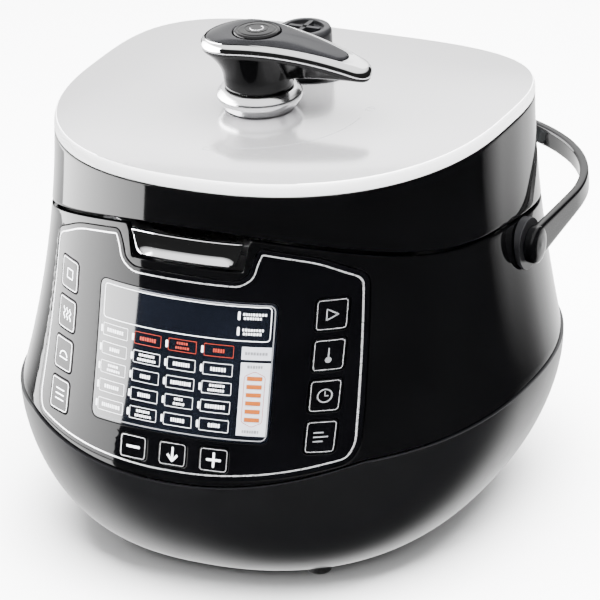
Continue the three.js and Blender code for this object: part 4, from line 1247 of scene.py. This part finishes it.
def camera():
    az, el, roll = (math.radians(v) for v in (VIEW_AZ, VIEW_EL, VIEW_ROLL))
    back = Vector((math.sin(az) * math.cos(el), -math.cos(az) * math.cos(el), math.sin(el)))
    level = Vector((math.cos(az), math.sin(az), 0))
    up = back.cross(level)
    across = level * math.cos(roll) - up * math.sin(roll)
    upright = level * math.sin(roll) + up * math.cos(roll)
    cam = bpy.data.cameras.new("camera")
    cam.sensor_width, cam.lens = SENSOR, LENS
    obj = linked("camera", cam)
    m = Matrix((across, upright, back)).transposed().to_4x4()
    k = FIT_SCALE * MM
    m.translation = Vector((CAMERA_AT[0] * k, CAMERA_AT[1] * k - ORIGIN_Y * MM, CAMERA_AT[2] * k))
    obj.matrix_world = m
    bpy.context.scene.camera = obj


def area(name, place, target, size, power, skip=(), mirrored=True, spread=180):
    """A soft box; pieces in skip are not lit by it, and unless mirrored it shows in no reflection."""
    light = bpy.data.lights.new(name, "AREA")
    light.shape = "RECTANGLE"
    light.size, light.size_y = size
    light.energy, light.spread = power, math.radians(spread)
    obj = linked(name, light)
    obj.location = place
    obj.rotation_euler = (Vector(target) - Vector(place)).to_track_quat("-Z", "Y").to_euler()
    obj.visible_camera, obj.visible_glossy = False, mirrored
    if skip:
        group = bpy.data.collections.new(name + "_unlit")
        for piece in skip:
            group.objects.link(piece)
        obj.light_linking.receiver_collection = group
        for item in group.collection_objects:
            item.light_linking.link_state = "EXCLUDE"


# Grey levels of the sky by (height, grey), where height 0 is straight down and 1 straight up.
SKY_OVERHEAD = ((0.0, 0.008), (0.64, 0.008), (0.76, 0.8))
SKY_BELOW = ((0.0, 1.3), (0.33, 1.3), (0.41, 0.0))
SKY_STRENGTH = 2.6
BRIGHT_SIDE, BRIGHT_FROM, BRIGHT_FULL = (-0.64, 0.77, 0.0), 0.2, 0.5
BACKDROP_R, BACKDROP_GLOW, FLOOR_R = 7.0, 9.0, 1.7


def sky():
    """A dim room, brighter overhead, whose lower half is bright only behind the cooker."""
    world = bpy.data.worlds.new("world")
    bpy.context.scene.world = world
    world.use_nodes = True
    nt = world.node_tree
    link = nt.links.new
    direction = shader_node(nt, "TexCoord").outputs["Generated"]
    axes, height = shader_node(nt, "SeparateXYZ"), shader_node(nt, "MapRange", From_Min=-1.0)
    link(direction, axes.inputs["Vector"])
    link(axes.outputs["Z"], height.inputs["Value"])
    overhead, below = (ramp_node(nt, height.outputs["Result"], [(at, (grey,) * 3) for at, grey in stops])
                       for stops in (SKY_OVERHEAD, SKY_BELOW))
    toward, total = (shader_node(nt, "VectorMath") for _ in range(2))
    toward.operation, total.operation = "DOT_PRODUCT", "MULTIPLY_ADD"
    toward.inputs[1].default_value = BRIGHT_SIDE
    link(direction, toward.inputs[0])
    side = shader_node(nt, "MapRange", From_Min=BRIGHT_FROM, From_Max=BRIGHT_FULL)
    link(toward.outputs["Value"], side.inputs["Value"])
    for socket, source in zip(total.inputs, (below, side.outputs["Result"], overhead)):
        link(source, socket)
    background = nt.nodes["Background"]
    link(total.outputs["Vector"], background.inputs["Color"])
    background.inputs["Strength"].default_value = SKY_STRENGTH


def stage_piece(name, rings, mat):
    """A surface round the Z axis through (radius, z) rings, in metres."""
    around = 96
    me = bpy.data.meshes.new(name)
    angles = np.linspace(0, 2 * PI, around, endpoint=False)
    v = [(r * math.cos(a), r * math.sin(a), z) for r, z in rings for a in angles]
    me.from_pydata(v, [], grid_faces(len(rings), around))
    me.materials.append(mat)
    obj = linked(name, me)
    obj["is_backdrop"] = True
    return obj


def backdrop():
    """A pale dome far outside the camera, which lights nothing and shows in no reflection."""
    mat = bpy.data.materials.new("backdrop_white")
    mat.use_nodes = True
    shader = mat.node_tree.nodes["Principled BSDF"]
    shader.inputs["Base Color"].default_value = (0, 0, 0, 1)
    shader.inputs["Emission Color"].default_value = (1, 1, 1, 1)
    shader.inputs["Emission Strength"].default_value = BACKDROP_GLOW
    rise = np.linspace(-0.45 * PI, 0.49 * PI, 24)
    far = stage_piece("backdrop", [(BACKDROP_R * math.cos(t), BACKDROP_R * math.sin(t)) for t in rise], mat)
    far.visible_diffuse = far.visible_glossy = far.visible_transmission = far.visible_shadow = False


def studio():
    floor = stage_piece("floor", [(r, 0.0) for r in np.linspace(0.0001, FLOOR_R, 24)], FLOOR)
    floor.visible_glossy = False
    sky()
    backdrop()
    lid = bpy.data.objects["lid_cover_skin"]
    area("top", (0.05, 0.1, 1.5), (0, 0, 0), (1.8, 1.8), 420, mirrored=False)
    area("left", (-0.79, -0.09, 0.36), (0.15, 0.25, 0.36), (1.4, 0.8), 40, skip=(floor, lid), spread=120)
    area("rear", (-0.85, 1.7, 1.0), (0, 0, 0.28), (3.2, 1.9), 34, skip=(floor,))


camera()
studio()
boxes = [[list(map(float, p)) for p in box] for box in (cad_box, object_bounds())]
